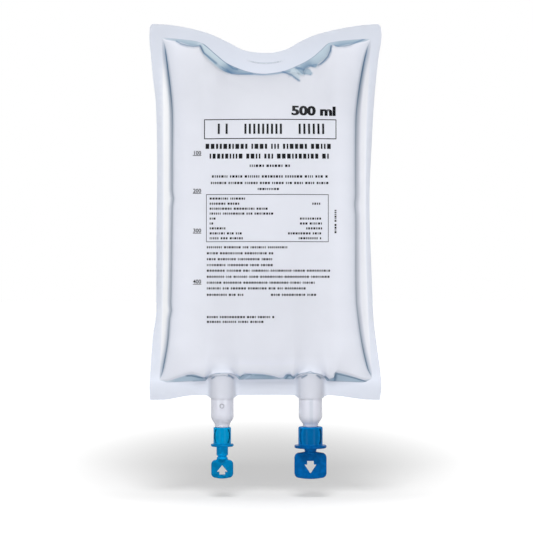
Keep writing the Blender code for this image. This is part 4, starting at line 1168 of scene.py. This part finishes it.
def finished(tree, inputs, scale, roughness, spread, bump, depth):
    """Feeds a material's shader, and gives it grain: its scale, its roughness and its bumps."""
    grain = place_group(tree, grain_group(), {"Scale": scale, "Roughness": roughness, "Spread": spread})
    bumps = {"Strength": bump, "Distance": depth, "Height": grain["Height"]}
    normal = add_node(tree, "ShaderNodeBump", bumps).outputs["Normal"]
    inputs = {**inputs, "Roughness": grain["Roughness"], "Normal": normal}
    feed(tree, tree.nodes["Principled BSDF"], inputs)


def plain_material(name, colour, inputs, **grain):
    """A material of one colour with grain."""
    material, tree = new_material(name)
    finished(tree, {"Base Color": (*colour, 1), **inputs}, **grain)
    return material


def film_material(name, settings):
    """The milky film, a little see-through over the tubes."""
    material, tree = new_material(name)
    colours = {label: (*getattr(settings, key), 1) for label, key in FILM_COLOURS.items()}
    inputs = {"Base Color": place_group(tree, film_tone_group(), colours)["Color"], "IOR": 1.45,
              "Specular IOR Level": 0.14, "Alpha": mapped(tree, mark(tree, "clear"), (0, 1), (1.0, 0.8))}
    finished(tree, inputs, scale=260, roughness=0.4, spread=0.12, bump=0.15, depth=0.4 * MM)
    return material


def ink_material(settings):
    return plain_material("black_print", settings.ink, {"Specular IOR Level": 0.12},
                          scale=2500, roughness=0.4, spread=0.15, bump=0.1, depth=0.1 * MM)


def milky_material(name, tint, band_x=NO_TUBE_BAND):
    """Half-clear moulded plastic with painted shade where it turns from view, and a faint blue-grey band up
    the tube at the given x.
    """
    material, tree = new_material(name)
    # Painted shade at the edges, where the tube turns from view
    facing = add_node(tree, "ShaderNodeLayerWeight", {"Blend": 0.35}).outputs["Facing"]
    rim = mapped(tree, facing, (0.6, 0.98), (0, 1))
    colour = mixed(tree, rim, (*tint, 1), shaded(tint, 0.7))
    banded = place_group(tree, tube_band_group(), {"Middle": band_x, "Color": colour})["Color"]
    inputs = {"Base Color": banded, "Transmission Weight": 0.2, "IOR": 1.47, "Specular IOR Level": 0.35}
    finished(tree, inputs, scale=700, roughness=0.22, spread=0.06, bump=0.06, depth=0.2 * MM)
    return material


def liquid_material():
    return plain_material("clear_liquid", (0.93, 0.95, 0.98), {"Transmission Weight": 1.0, "IOR": 1.33},
                          scale=700, roughness=0.02, spread=0.03, bump=0.05, depth=0.2 * MM)


def colour_ramp(tree, value, stops):
    """A colour read from a ramp of (position, colour) stops."""
    node = add_node(tree, "ShaderNodeValToRGB", {"Fac": value})
    while len(node.color_ramp.elements) < len(stops):
        node.color_ramp.elements.new(0.5)
    for element, (position, colour) in zip(node.color_ramp.elements, stops):
        element.position = position
        element.color = colour
    return node.outputs["Color"]


def shaded(colour, factor):
    """A colour made lighter or darker, with full alpha."""
    return (*[min(c * factor, 1) for c in colour], 1)


def cap_material(name, colour, port, panel_shade, left_groove_shade, tab, stem, flange, sleeve):
    """Moulded blue plastic: mottled, with painted shade along its grooves and on the panel between them, and
    painted light and shade by height.
    """
    material, tree = new_material(name)
    place = object_place(tree)
    cloud = noise(tree, place, 420, 3)
    mottled = colour_ramp(tree, cloud, [(0.3, shaded(colour, 0.8)), (0.7, shaded(colour, 1.2))])
    z = levels(port)
    oval = place_group(tree, oval_group(), {
        "Middle X": port["x"], "Middle Z": (z["cap"] + z["flange"]) / 2, "Reach": port["groove_reach"],
        "Height": port["groove_height"], "Room": port["cap_length"] / 2 - 0.8 * MM, "Width": 0.12,
        "Left": left_groove_shade})
    # Painted shade on the panel between the grooves and along the grooves
    base = mixed(tree, calc(tree, "MULTIPLY", oval["Panel"], 0.8), mottled, shaded(colour, panel_shade))
    base = mixed(tree, oval["Lines"], base, shaded(colour, 0.22))
    # Painted light and shade by height: the tab, stem, flange and sleeve each lighter or darker
    low, high = z["floor"] - CAP_RAMP_DEPTH, z["cap"]
    stops = ((z["tab"] - 2.5 * MM, tab), (z["tab"], stem), (z["stem"] - 0.3 * MM, stem), (z["stem"], flange),
             (z["flange"], flange), (z["flange"] + 0.8 * MM, sleeve))
    steps = colour_ramp(tree, mapped(tree, split(tree, place)["Z"], (low, high), (0, 1)),
                        [((at - low) / (high - low), shaded(tone, 1 / CAP_SPAN)) for at, tone in stops])
    tone = vector_calc(tree, "SCALE", {0: steps, "Scale": CAP_SPAN})
    inputs = {"Base Color": vector_calc(tree, "MULTIPLY", {0: base, 1: tone}), "Specular IOR Level": 0.03}
    finished(tree, inputs, scale=1500, roughness=0.24, spread=0.12, bump=0.25, depth=0.15 * MM)
    return material


def rubber_material():
    return plain_material("septum_rubber", (0.62, 0.60, 0.56), {},
                          scale=2200, roughness=0.7, spread=0.15, bump=0.2, depth=0.1 * MM)


class FLUIDBAG_OT_films(bpy.types.Operator):
    """Make the front and back films with their gathers, welds, sleeves and hang slit"""
    bl_idname = "fluidbag.films"
    bl_label = "Make films"

    def execute(self, context):
        settings = context.scene.fluid_bag
        layout = FilmLayout(settings.grain, settings.fine_grain)
        seam = layout.seam(settings.curl)
        marks = layout.tones()
        x, z = layout.points[:, 0], layout.points[:, 1]
        # Where the film wraps a tube: painted light over the shading of the wrap, and a little see-through
        wrapped = np.clip(sleeve(x) / (3 * MM), 0, 1) * (z < SLEEVE_CLEAR_Z)
        marks["clear"] = wrapped * marks["weld"]
        material = film_material("welded_film", settings)
        faces = np.concatenate([layout.band_faces, layout.ring_faces, layout.fill_faces])
        for front, name, node in ((True, "bag_front", "front_film"), (False, "bag_back", "back_film")):
            depth = layout.depth(front, settings.half_depth)
            verts = np.stack([x, seam + (-depth if front else depth), z], axis=1)
            obj = mesh_piece(name, verts, faces if front else faces[:, ::-1])
            for label, values in marks.items():
                held = obj.data.attributes.new(label, "FLOAT", "POINT")
                held.data.foreach_set("value", values.astype(np.float32))
            solid = obj.modifiers.new("film thickness", "SOLIDIFY")
            solid.thickness = settings.thickness
            solid.offset = 1
            solid.use_even_offset = False
            applied(obj)
            obj.data.set_sharp_from_angle(angle=math.radians(70))
            obj.data.materials.append(material)
            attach(obj, "root")
            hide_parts(node)
        return {"FINISHED"}


def print_point(x, z, half_depth, lift):
    """Where print lies on the film, seen in front of a place on the seam, and the way the film faces."""
    def depth_at(x, z):
        return filled(x, z, True, half_depth)

    x, z = np.atleast_1d(x).astype(float), np.atleast_1d(z).astype(float)
    nearer = 1 - (depth_at(x, z) + FILM_THICK) / CAMERA_DISTANCE
    x = VIEW_X + (x - VIEW_X) * nearer
    z = VIEW_Z + (z - VIEW_Z) * nearer
    step = 0.5 * MM
    depth = depth_at(x, z)
    along_x = (depth_at(x + step, z) - depth_at(x - step, z)) / (2 * step)
    along_z = (depth_at(x, z + step) - depth_at(x, z - step)) / (2 * step)
    normal = np.stack([-along_x, -np.ones_like(x), -along_z], axis=1)
    normal /= np.linalg.norm(normal, axis=1)[:, None]
    place = np.stack([x, -depth, z], axis=1) + normal * (FILM_THICK + lift)
    return place, normal


def word_marks(rng, x_from, x_to, z, height, solid):
    """Small upright blocks in word-like groups along a line: plain bars that stand for print."""
    marks = []
    x = x_from
    while x < x_to - 0.4 * height:
        for _ in range(rng.choice((3, 4, 5, 6, 7, 8, 9, 10))):
            width = height * rng.choice((0.22, 0.3, 0.42, 0.5))
            if x + width > x_to:
                break
            marks.append((x + width / 2, z, width, 0.72 * height * solid))
            x += width + 0.2 * height
        x += 0.34 * height
    return marks


def straight_marks(x0, z0, x1, z1, width, bow=0.0):
    """A printed rule as short overlapping marks that follow the film."""
    marks = []
    length = math.hypot(x1 - x0, z1 - z0)
    count = max(int(length / (1.2 * MM)), 1)
    for k in range(count):
        t = (k + 0.5) / count
        bend = bow * 4 * t * (1 - t)
        flat = abs(x1 - x0) > abs(z1 - z0)
        x = x0 + (x1 - x0) * t + (0 if flat else bend)
        z = z0 + (z1 - z0) * t + (bend if flat else 0)
        size = length / count * 1.25
        marks.append((x, z, size if flat else width, width if flat else size))
    return marks


def frame_marks(x0, y0, x1, y1, width, bow):
    """A printed frame between two corners, in pixels, whose long sides bow a little."""
    left, right, top, low = at_x(x0), at_x(x1), at_z(y0), at_z(y1)
    marks = []
    for z in (top, low):
        marks += straight_marks(left, z, right, z, width, bow)
    for x in (left, right):
        marks += straight_marks(x, low, x, top, width)
    return marks


def print_marks(seed):
    """Every mark of the print as x, z, width and height."""
    rng = random.Random(seed)
    marks = frame_marks(*UPPER_FRAME, RULE_WIDTH, 0.25 * MM)
    marks += frame_marks(*LOWER_FRAME, RULE_WIDTH * 0.7, 0.1 * MM)
    for x0, x1 in BOLD_STRETCHES:
        marks += upright_bars(at_x(x0), at_x(x1), at_z(BOLD_Y), BOLD_HEIGHT * PIXEL)
    for x0, x1, y, height, solid in HEADING_LINES:
        marks += word_marks(rng, at_x(x0), at_x(x1), at_z(y), height * PIXEL, solid)

    def small_line(x0, x1, y):
        return word_marks(rng, at_x(x0), at_x(x1), at_z(y), SMALL_PRINT, 0.7)

    for y, end, right in TABLE_LINES:
        marks += small_line(LIST_LEFT, end, y)
        if right:
            marks += small_line(right, LIST_RIGHT, y)
    for y, end in SMALL_LINES:
        marks += small_line(SMALL_LEFT, end, y)
    marks += small_line(*SIDE_LINE)
    for y in SCALE_RULES:
        marks += straight_marks(at_x(SCALE_LEFT), at_z(y), at_x(SCALE_RIGHT), at_z(y), 0.35 * MM)
    upright = word_marks(rng, 0, UPRIGHT_LENGTH * PIXEL, 0, FIGURE_HEIGHT * PIXEL, 0.7)
    marks += [(at_x(UPRIGHT_X) - z, at_z(UPRIGHT_Y) + x, height, width) for x, z, width, height in upright]
    return marks


def upright_bars(x_from, x_to, z, height):
    """A row of bold upright bars that fills a stretch of a line."""
    bar, gap = 0.2 * height, 0.2 * height
    count = max(int((x_to - x_from + gap) / (bar + gap)), 1)
    pitch = (x_to - x_from - bar) / max(count - 1, 1)
    return [(x_from + bar / 2 + k * pitch, z, bar, height) for k in range(count)]


def marks_tree():
    """Geometry Nodes: a small flat mark on each point, sized and turned by the point's own values."""
    tree = bpy.data.node_groups.new("printed_marks", "GeometryNodeTree")
    for label, kind, way in (("Geometry", "Geometry", "INPUT"), ("Ink", "Material", "INPUT"),
                             ("Mark Size", "Float", "INPUT"), ("Geometry", "Geometry", "OUTPUT")):
        tree.interface.new_socket(label, in_out=way, socket_type="NodeSocket" + kind)
    given = tree.nodes.new("NodeGroupInput").outputs
    grid = add_node(tree, "GeometryNodeMeshGrid", {
        "Vertices X": 2, "Vertices Y": 2, "Size X": given["Mark Size"], "Size Y": given["Mark Size"]})
    turn, size = (add_node(tree, "GeometryNodeInputNamedAttribute", {"Name": label}, data_type="FLOAT_VECTOR")
                  for label in ("turn", "size"))
    euler = add_node(tree, "FunctionNodeEulerToRotation", {"Euler": turn.outputs["Attribute"]})
    copy = add_node(tree, "GeometryNodeInstanceOnPoints", {
        "Points": given["Geometry"], "Instance": grid.outputs["Mesh"], "Rotation": euler.outputs["Rotation"],
        "Scale": size.outputs["Attribute"]})
    real = add_node(tree, "GeometryNodeRealizeInstances", {"Geometry": copy.outputs["Instances"]})
    paint = add_node(tree, "GeometryNodeSetMaterial",
                     {"Geometry": real.outputs["Geometry"], "Material": given["Ink"]})
    add_node(tree, "NodeGroupOutput", {"Geometry": paint.outputs["Geometry"]})
    return tree


def set_input(modifier, label, value):
    """Sets a Geometry Nodes modifier's input by its socket's identifier."""
    for item in modifier.node_group.interface.items_tree:
        if item.item_type == "SOCKET" and item.in_out == "INPUT" and item.name == label:
            modifier[item.identifier] = value


class FLUIDBAG_OT_print(bpy.types.Operator):
    """Print the front film with rules, rows of marks and a volume scale"""
    bl_idname = "fluidbag.print_marks"
    bl_label = "Make print"

    def execute(self, context):
        bag, settings = context.scene.fluid_bag, context.scene.fluid_bag_print
        ink = ink_material(settings)
        marks = np.array(print_marks(settings.seed))
        place, normal = print_point(marks[:, 0], marks[:, 1], bag.half_depth, settings.lift)
        turns = []
        for way in normal:
            out = Vector(way)
            up = (Vector((0, 0, 1)) - out * out.z).normalized()
            right = up.cross(out)
            turns.append(tuple(Matrix([[right[i], up[i], out[i]] for i in range(3)]).to_euler()))
        mesh = bpy.data.meshes.new("printed_lines")
        mesh.from_pydata([tuple(p) for p in place], [], [])
        for label, values in (("turn", turns), ("size", [(w, h, 1) for w, h in marks[:, 2:4]])):
            held = mesh.attributes.new(label, "FLOAT_VECTOR", "POINT")
            held.data.foreach_set("vector", np.array(values, np.float32).ravel())
        obj = linked("printed_lines", mesh)
        copy = obj.modifiers.new("marks", "NODES")
        copy.node_group = marks_tree()
        set_input(copy, "Ink", ink)
        set_input(copy, "Mark Size", 1.0)
        applied(obj)
        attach(obj, "root")
        figures = [figure(body, at_x(SCALE_LEFT), at_z(foot), FIGURE_HEIGHT * PIXEL, bag.half_depth,
                          settings.lift) for body, foot in SCALE_FIGURES]
        for strike in (0, 0.25, 0.5):
            figures.append(figure("500 ml", at_x(CONTENTS_X) + strike * MM, at_z(CONTENTS_Y),
                                  CONTENTS_HEIGHT * PIXEL, bag.half_depth,
                                  settings.lift + strike * 0.02 * MM, bold=0.2 * MM, wide=1.25, tilt=-0.02))
        joined = coated(join(figures, "printed_figures"), ink)
        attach(joined, "root")
        return {"FINISHED"}


def figure(body, x, z, size, half_depth, lift, bold=0.06 * MM, wide=1.0, tilt=0.0):
    """Plain figures laid on the filled front film, their foot at z, fattened, widened and tilted a little."""
    data = bpy.data.curves.new("figure", "FONT")
    data.body = body
    data.size = size * TYPE_SIZE
    data.offset = bold
    data.resolution_u = 3
    obj = linked("figure", data)
    mesh = evaluated_mesh(obj)
    bpy.data.objects.remove(obj, do_unlink=True)
    flat = np.empty(len(mesh.vertices) * 3, np.float32)
    mesh.vertices.foreach_get("co", flat)
    flat = flat.reshape(-1, 3)
    along = flat[:, 0] * wide
    place, _ = print_point(x + along, z + flat[:, 1] + along * tilt, half_depth, lift)
    mesh.vertices.foreach_set("co", place.astype(np.float32).ravel())
    mesh.update()
    return linked("figure", mesh)


def join(pieces, name):
    """Several meshes made into one."""
    form = bmesh.new()
    for piece in pieces:
        form.from_mesh(piece.data)
        bpy.data.objects.remove(piece, do_unlink=True)
    return formed_piece(name, form)


class FLUIDBAG_OT_liquid(bpy.types.Operator):
    """Make the liquid that fills the pocket and stands in the tubes"""
    bl_idname = "fluidbag.liquid"
    bl_label = "Make liquid"

    def execute(self, context):
        settings, ports = context.scene.fluid_bag, context.scene.fluid_bag_ports
        layout = FilmLayout(settings.grain * 2, settings.fine_grain * 2)
        valley = layout.ring("valley")
        front, back = layout.depth(True, settings.half_depth), layout.depth(False, settings.half_depth)
        within = layout.ring_faces[layout.ring_faces.min(axis=1) >= valley.start]
        faces = np.concatenate([within, layout.fill_faces])
        used = np.unique(faces)
        rim = (used >= valley.start) & (used < valley.stop)
        x, z = layout.points[used, 0], layout.points[used, 1]
        near = np.where(rim, 0, -front[used] ** 2 / (front[used] + FIT))
        far = np.where(rim, 0, back[used] ** 2 / (back[used] + FIT))
        front_ids = {g: i for i, g in enumerate(used)}
        inner = used[~rim]
        back_ids = {g: len(used) + i for i, g in enumerate(inner)}
        verts = np.concatenate([np.stack([x, near, z], 1), np.stack([x[~rim], far[~rim], z[~rim]], 1)])
        shell = [[front_ids[i] for i in f] for f in faces]
        shell += [[back_ids.get(i, front_ids[i]) for i in f[::-1]] for f in faces]
        body = mesh_piece("liquid", verts, shell)
        for port in PORTS.values():
            h = levels(port)
            r = port["radius"] - PORT_WALL - LIQUID_GAP
            neck = port["neck_radius"] - PORT_WALL - LIQUID_GAP
            throat = port["spigot_radius"] - PORT_WALL - LIQUID_GAP
            top = PORT_TOP_Z + DOME_RISE + 1.5 * MM
            profile = [(0, top), (r, top), (r, h["taper"] + 1.2 * MM), (neck, h["neck"] + 0.7 * MM),
                       (throat, h["seat"] + 0.7 * MM), (throat, h["spigot"]), (0, h["spigot"])]
            combine(body, turned("column", profile, port["x"], ports.steps), "UNION")
        body.data.shade_smooth()
        coated(body, liquid_material())
        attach(body, "root")
        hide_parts("solution")
        return {"FINISHED"}


class FLUIDBAG_OT_ports(bpy.types.Operator):
    """Make the two milky port tubes and the gate ring"""
    bl_idname = "fluidbag.ports"
    bl_label = "Make ports"

    def execute(self, context):
        settings = context.scene.fluid_bag_ports
        for side, port in PORTS.items():
            band_x = at_x(TUBE_BAND_PX) if side == "infusion" else NO_TUBE_BAND
            z = levels(port)
            r, neck, spigot = port["radius"], port["neck_radius"], port["spigot_radius"]
            bore, throat = r - PORT_WALL, spigot - PORT_WALL
            profile = [(r, PORT_TOP_Z), (r, z["taper"]), (neck + 0.5 * MM, z["neck"] + 0.2 * MM),
                       (neck, z["neck"] - 0.6 * MM), (neck, z["seat"]), (spigot, z["seat"]),
                       (spigot, z["spigot"]), (throat, z["spigot"]), (throat, z["seat"] + 0.6 * MM),
                       (neck - PORT_WALL, z["neck"] + 0.6 * MM), (bore, z["taper"] + 1.1 * MM),
                       (bore, PORT_TOP_Z)]
            radii = [0.4, 2.4, 0.8, 0.6, 0.15, 0.15, 0.3, 0.15, 0.5, 0.6, 2.0, 0.4]
            tube = turned(side + "_tube", rounded(profile, radii), port["x"], settings.steps)
            tube.data.shade_smooth()
            coated(tube, milky_material(side + "_milky_tube", settings.tube, band_x))
            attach(tube, "root")
            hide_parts(side + "_port_tube")
        if settings.gate_mark:
            port = PORTS["injection"]
            bpy.ops.mesh.primitive_torus_add(
                major_radius=1.15 * MM, minor_radius=0.28 * MM, major_segments=40, minor_segments=10,
                location=(at_x(GATE_PX), -port["radius"], at_z(GATE_PY)), rotation=(math.pi / 2, 0, 0))
            ring = context.object
            ring.name = "tube_gate_ring"
            at_origin(ring)
            ring.data.shade_smooth()
            coated(ring, milky_material("gate_ring", [0.62 * c for c in settings.tube]))
            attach(ring, "root")
        return {"FINISHED"}


def tab_outline(port):
    """The break-off tab: sloping shoulders, round corners and a bowed lower edge."""
    z = levels(port)
    half, r, slope = port["tab_width"] / 2, port["tab_round"], port["tab_slope"]
    outline = [(port["waist_radius"] * 0.5, z["tab"])]
    turns = [math.pi / 2 * k / 8 for k in range(9)]
    for turn in turns:
        outline.append((half - r + r * math.sin(turn), z["tab"] - slope - r + r * math.cos(turn)))
    for turn in turns:
        outline.append((half - r + r * math.cos(turn), z["tab_end"] + r - r * math.sin(turn)))
    for u in (0.75, 0.5, 0.25):
        outline.append(((half - r) * u, z["tab_end"] - port["tab_bulge"] * (1 - u * u)))
    left = [(-x, height) for x, height in reversed(outline)]
    return [(port["x"] + x, height) for x, height in outline + [(0, z["tab_end"] - port["tab_bulge"])] + left]


def arrow_outline(port):
    """The arrow cut through a tab, with its head towards the cap or away from it."""
    top = levels(port)["tab"] - port["arrow_gap"]
    length = port["head_length"] + port["shaft_length"]
    tip, way = (top, -1) if port["arrow_up"] else (top - length, 1)
    base, tail = tip + way * port["head_length"], tip + way * length
    half, shaft = port["head_half"], port["shaft_half"]
    right = [(0, tip), (half, base), (shaft, base), (shaft, tail)]
    left = [(-x, z) for x, z in right[:0:-1]]
    return [(port["x"] + x, z) for x, z in right + left]


def groove_ring(port, steps):
    """The cutter for the bowed grooves on a cap's front and back: an oval ring kept to the cap's skin."""
    z = levels(port)
    middle_z = (z["cap"] + z["flange"]) / 2
    deep = port["cap_radius"] * 1.3
    room = port["cap_length"] / 2 - 1.1 * MM

    def oval(wider):
        reach, height = port["groove_reach"] + wider, port["groove_height"] + wider
        turns = [math.tau * k / 56 for k in range(56)]
        return [(port["x"] + reach * math.cos(t), middle_z + height * math.sin(t)) for t in turns]

    ring = plate("grooves", oval(GROOVE_WIDTH), deep)
    combine(ring, plate("core", oval(0), 2 * deep), "DIFFERENCE")
    corners = ((-deep, -room), (deep, -room), (deep, room), (-deep, room))
    limit = plate("room", [(port["x"] + x, middle_z + up) for x, up in corners], 1.5 * deep)
    combine(ring, limit, "INTERSECT")
    skin_radius, top, foot = port["cap_radius"] - GROOVE_DEPTH, z["cap"] + deep, z["stem"] - deep
    profile = [(0, top), (skin_radius, top), (skin_radius, foot), (0, foot)]
    return combine(ring, turned("skin", profile, port["x"], steps), "DIFFERENCE")


class FLUIDBAG_OT_caps(bpy.types.Operator):
    """Make the two break-off caps with their cut-out arrows"""
    bl_idname = "fluidbag.caps"
    bl_label = "Make caps"

    def execute(self, context):
        settings = context.scene.fluid_bag_ports
        for side, port in PORTS.items():
            z = levels(port)
            r, rim, stem = port["cap_radius"], port["flange_radius"], port["stem_radius"]
            waist, shoulder = port["waist_radius"], port["shoulder_radius"]
            hole = port["spigot_radius"] + FIT
            profile = [(hole, z["cap"]), (r, z["cap"]), (r, z["flange"]), (rim, z["flange"]),
                       (rim, z["stem"]), (stem, z["stem"]), (stem, z["waist"]),
                       (waist, z["waist"] - port["waist_length"]),
                       (shoulder, z["shoulder"]), (shoulder, z["shoulder"] - 0.8 * MM),
                       (0, z["shoulder"] - 2.4 * MM), (0, z["floor"]), (hole, z["floor"])]
            radii = [0.15, port["cap_edge"] / MM, 0.5, 0.6, 0.7, 0.5, 0.3, 0.3, 0.5, 0.6, 0, 0, 0.2]
            cap = turned(side + "_cap_moulding", rounded(profile, radii), port["x"], settings.steps)
            half = port["tab_thick"] / 2
            tab = plate("tab", tab_outline(port), half)
            soft = tab.modifiers.new("soft edge", "BEVEL")
            soft.width = settings.soft_edge
            soft.segments = 4
            soft.limit_method = "ANGLE"
            soft.angle_limit = math.radians(50)
            applied(tab)
            combine(cap, tab, "UNION")
            combine(cap, plate("arrow", arrow_outline(port), 2 * half), "DIFFERENCE")
            combine(cap, groove_ring(port, settings.steps), "DIFFERENCE")
            colour = settings.injection_cap if side == "injection" else settings.infusion_cap
            coated(cap, cap_material(side + "_cap_plastic", colour, port, *CAP_LIGHT_SHADE[side]))
            cap.data.set_sharp_from_angle(angle=math.radians(34))
            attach(cap, "root")
            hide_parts(side + "_cap")
            coated(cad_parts[side + "_septum"], rubber_material())
        return {"FINISHED"}


class FLUIDBAG_OT_stage(bpy.types.Operator):
    """Set the floor, the lamps and the camera"""
    bl_idname = "fluidbag.stage"
    bl_label = "Set stage"

    def execute(self, context):
        settings, scene = context.scene.fluid_bag_stage, context.scene
        corners = [(x * FLOOR_SIZE, y * FLOOR_SIZE, settings.floor_drop)
                   for x, y in ((-1, -1), (1, -1), (1, 1), (-1, 1))]
        floor = mesh_piece("floor", corners, [(0, 1, 2, 3)], False)
        material, tree = new_material("pale_floor")
        seen = self.seen_rays(tree)
        # A painted shadow on the floor: its glow is lower in a soft oval behind the bag and in one below the
        # caps
        wide = self.soft_oval(tree, settings.glow_middle, settings.glow_reach, settings.floor_glow,
                              start=0.16)
        foot = self.soft_oval(tree, settings.foot_middle, settings.foot_reach, settings.foot_glow)
        feed(tree, tree.nodes["Principled BSDF"], {
            "Base Color": mapped(tree, seen, (0, 1), (0.9, settings.floor_tone)), "Roughness": 0.9,
            "Specular IOR Level": 0.0, "Emission Color": (1, 1, 1, 1),
            "Emission Strength": calc(tree, "MULTIPLY", seen, calc(tree, "MULTIPLY", wide, foot))})
        floor.data.materials.append(material)

        world = scene.world or bpy.data.worlds.new("studio")
        scene.world = world
        world.use_nodes = True
        tree = world.node_tree
        tree.nodes.clear()
        way = split(tree, tree.nodes.new("ShaderNodeTexCoord").outputs["Generated"])
        height = mapped(tree, way["Z"], (0, 1), (settings.sky, settings.zenith))
        strength = mapped(tree, self.seen_rays(tree), (0, 1), (height, 1.0))
        sky = add_node(tree, "ShaderNodeBackground", {"Color": (1, 1, 1, 1), "Strength": strength})
        add_node(tree, "ShaderNodeOutputWorld", {"Surface": sky.outputs[0]})

        self.lamp("key_light", (-0.03, -0.8, 0.8), 0.5, settings.key)
        self.lamp("left_fill_light", (-0.7, -1.0, -0.2), 0.1, settings.fill)
        self.lamp("right_fill_light", (0.7, -1.0, -0.2), 0.1, settings.fill)

        camera = linked("camera", bpy.data.cameras.new("camera"))
        camera.location = (VIEW_X, -CAMERA_DISTANCE, VIEW_Z)
        camera.rotation_euler = (math.pi / 2, 0, 0)
        camera.data.sensor_width = 36
        camera.data.lens = camera.data.sensor_width * CAMERA_DISTANCE / (FRAME_PIXELS * PIXEL)
        camera.data.clip_end = 50
        scene.camera = camera
        scene.view_settings.view_transform = "Standard"
        return {"FINISHED"}

    def soft_oval(self, tree, middle, reach, low, start=0.0):
        """A value that grows from low, inside the share start of an oval on the floor, to 1 at its edge: the
        shape of a painted shadow.
        """
        gap = vector_calc(tree, "SUBTRACT", {0: object_place(tree), 1: (middle[0], middle[1], 0)})
        shares = vector_calc(tree, "MULTIPLY", {0: gap, 1: (1 / reach[0], 1 / reach[1], 0)})
        return mapped(tree, vector_calc(tree, "LENGTH", {0: shares}), (start, 1), (low, 1.0), True)

    def seen_rays(self, tree):
        """1 for rays from the camera and for those that gloss or clear plastic sends on, else 0."""
        rays = tree.nodes.new("ShaderNodeLightPath").outputs
        first = calc(tree, "MAXIMUM", rays["Is Camera Ray"], rays["Is Glossy Ray"])
        return calc(tree, "MAXIMUM", first, rays["Is Transmission Ray"])

    def lamp(self, name, place, size, energy):
        data = bpy.data.lights.new(name, "AREA")
        data.shape = "DISK"
        data.size = size
        data.energy = energy
        obj = linked(name, data)
        obj.location = place
        obj.rotation_euler = (Vector(LAMP_AIM) - Vector(place)).to_track_quat("-Z", "Y").to_euler()


class FLUIDBAG_PT_panel(bpy.types.Panel):
    """Lists the steps that dress the fluid bag"""
    bl_idname = "FLUIDBAG_PT_panel"
    bl_label = "Fluid bag"
    bl_space_type = "VIEW_3D"
    bl_region_type = "UI"
    bl_category = "Fluid bag"

    def draw(self, context):
        column = self.layout.column()
        for step in STEPS:
            column.operator(step.bl_idname)
        for group in ("fluid_bag", "fluid_bag_print", "fluid_bag_ports", "fluid_bag_stage"):
            settings = getattr(context.scene, group)
            box = self.layout.box()
            for key in settings.__annotations__:
                box.prop(settings, key)


STEPS = (FLUIDBAG_OT_films, FLUIDBAG_OT_print, FLUIDBAG_OT_liquid, FLUIDBAG_OT_ports, FLUIDBAG_OT_caps,
         FLUIDBAG_OT_stage)
CLASSES = (BagSettings, PrintSettings, PortSettings, StageSettings) + STEPS + (FLUIDBAG_PT_panel,)


def register():
    for item in CLASSES:
        bpy.utils.register_class(item)
    bpy.types.Scene.fluid_bag = PointerProperty(type=BagSettings)
    bpy.types.Scene.fluid_bag_print = PointerProperty(type=PrintSettings)
    bpy.types.Scene.fluid_bag_ports = PointerProperty(type=PortSettings)
    bpy.types.Scene.fluid_bag_stage = PointerProperty(type=StageSettings)


def unregister():
    for name in ("fluid_bag", "fluid_bag_print", "fluid_bag_ports", "fluid_bag_stage"):
        delattr(bpy.types.Scene, name)
    for item in reversed(CLASSES):
        bpy.utils.unregister_class(item)


def main():
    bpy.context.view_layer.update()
    register()
    bpy.ops.fluidbag.films()
    bpy.ops.fluidbag.print_marks()
    bpy.ops.fluidbag.liquid()
    bpy.ops.fluidbag.ports()
    bpy.ops.fluidbag.caps()
    bpy.ops.fluidbag.stage()


if __name__ == "__main__":
    main()
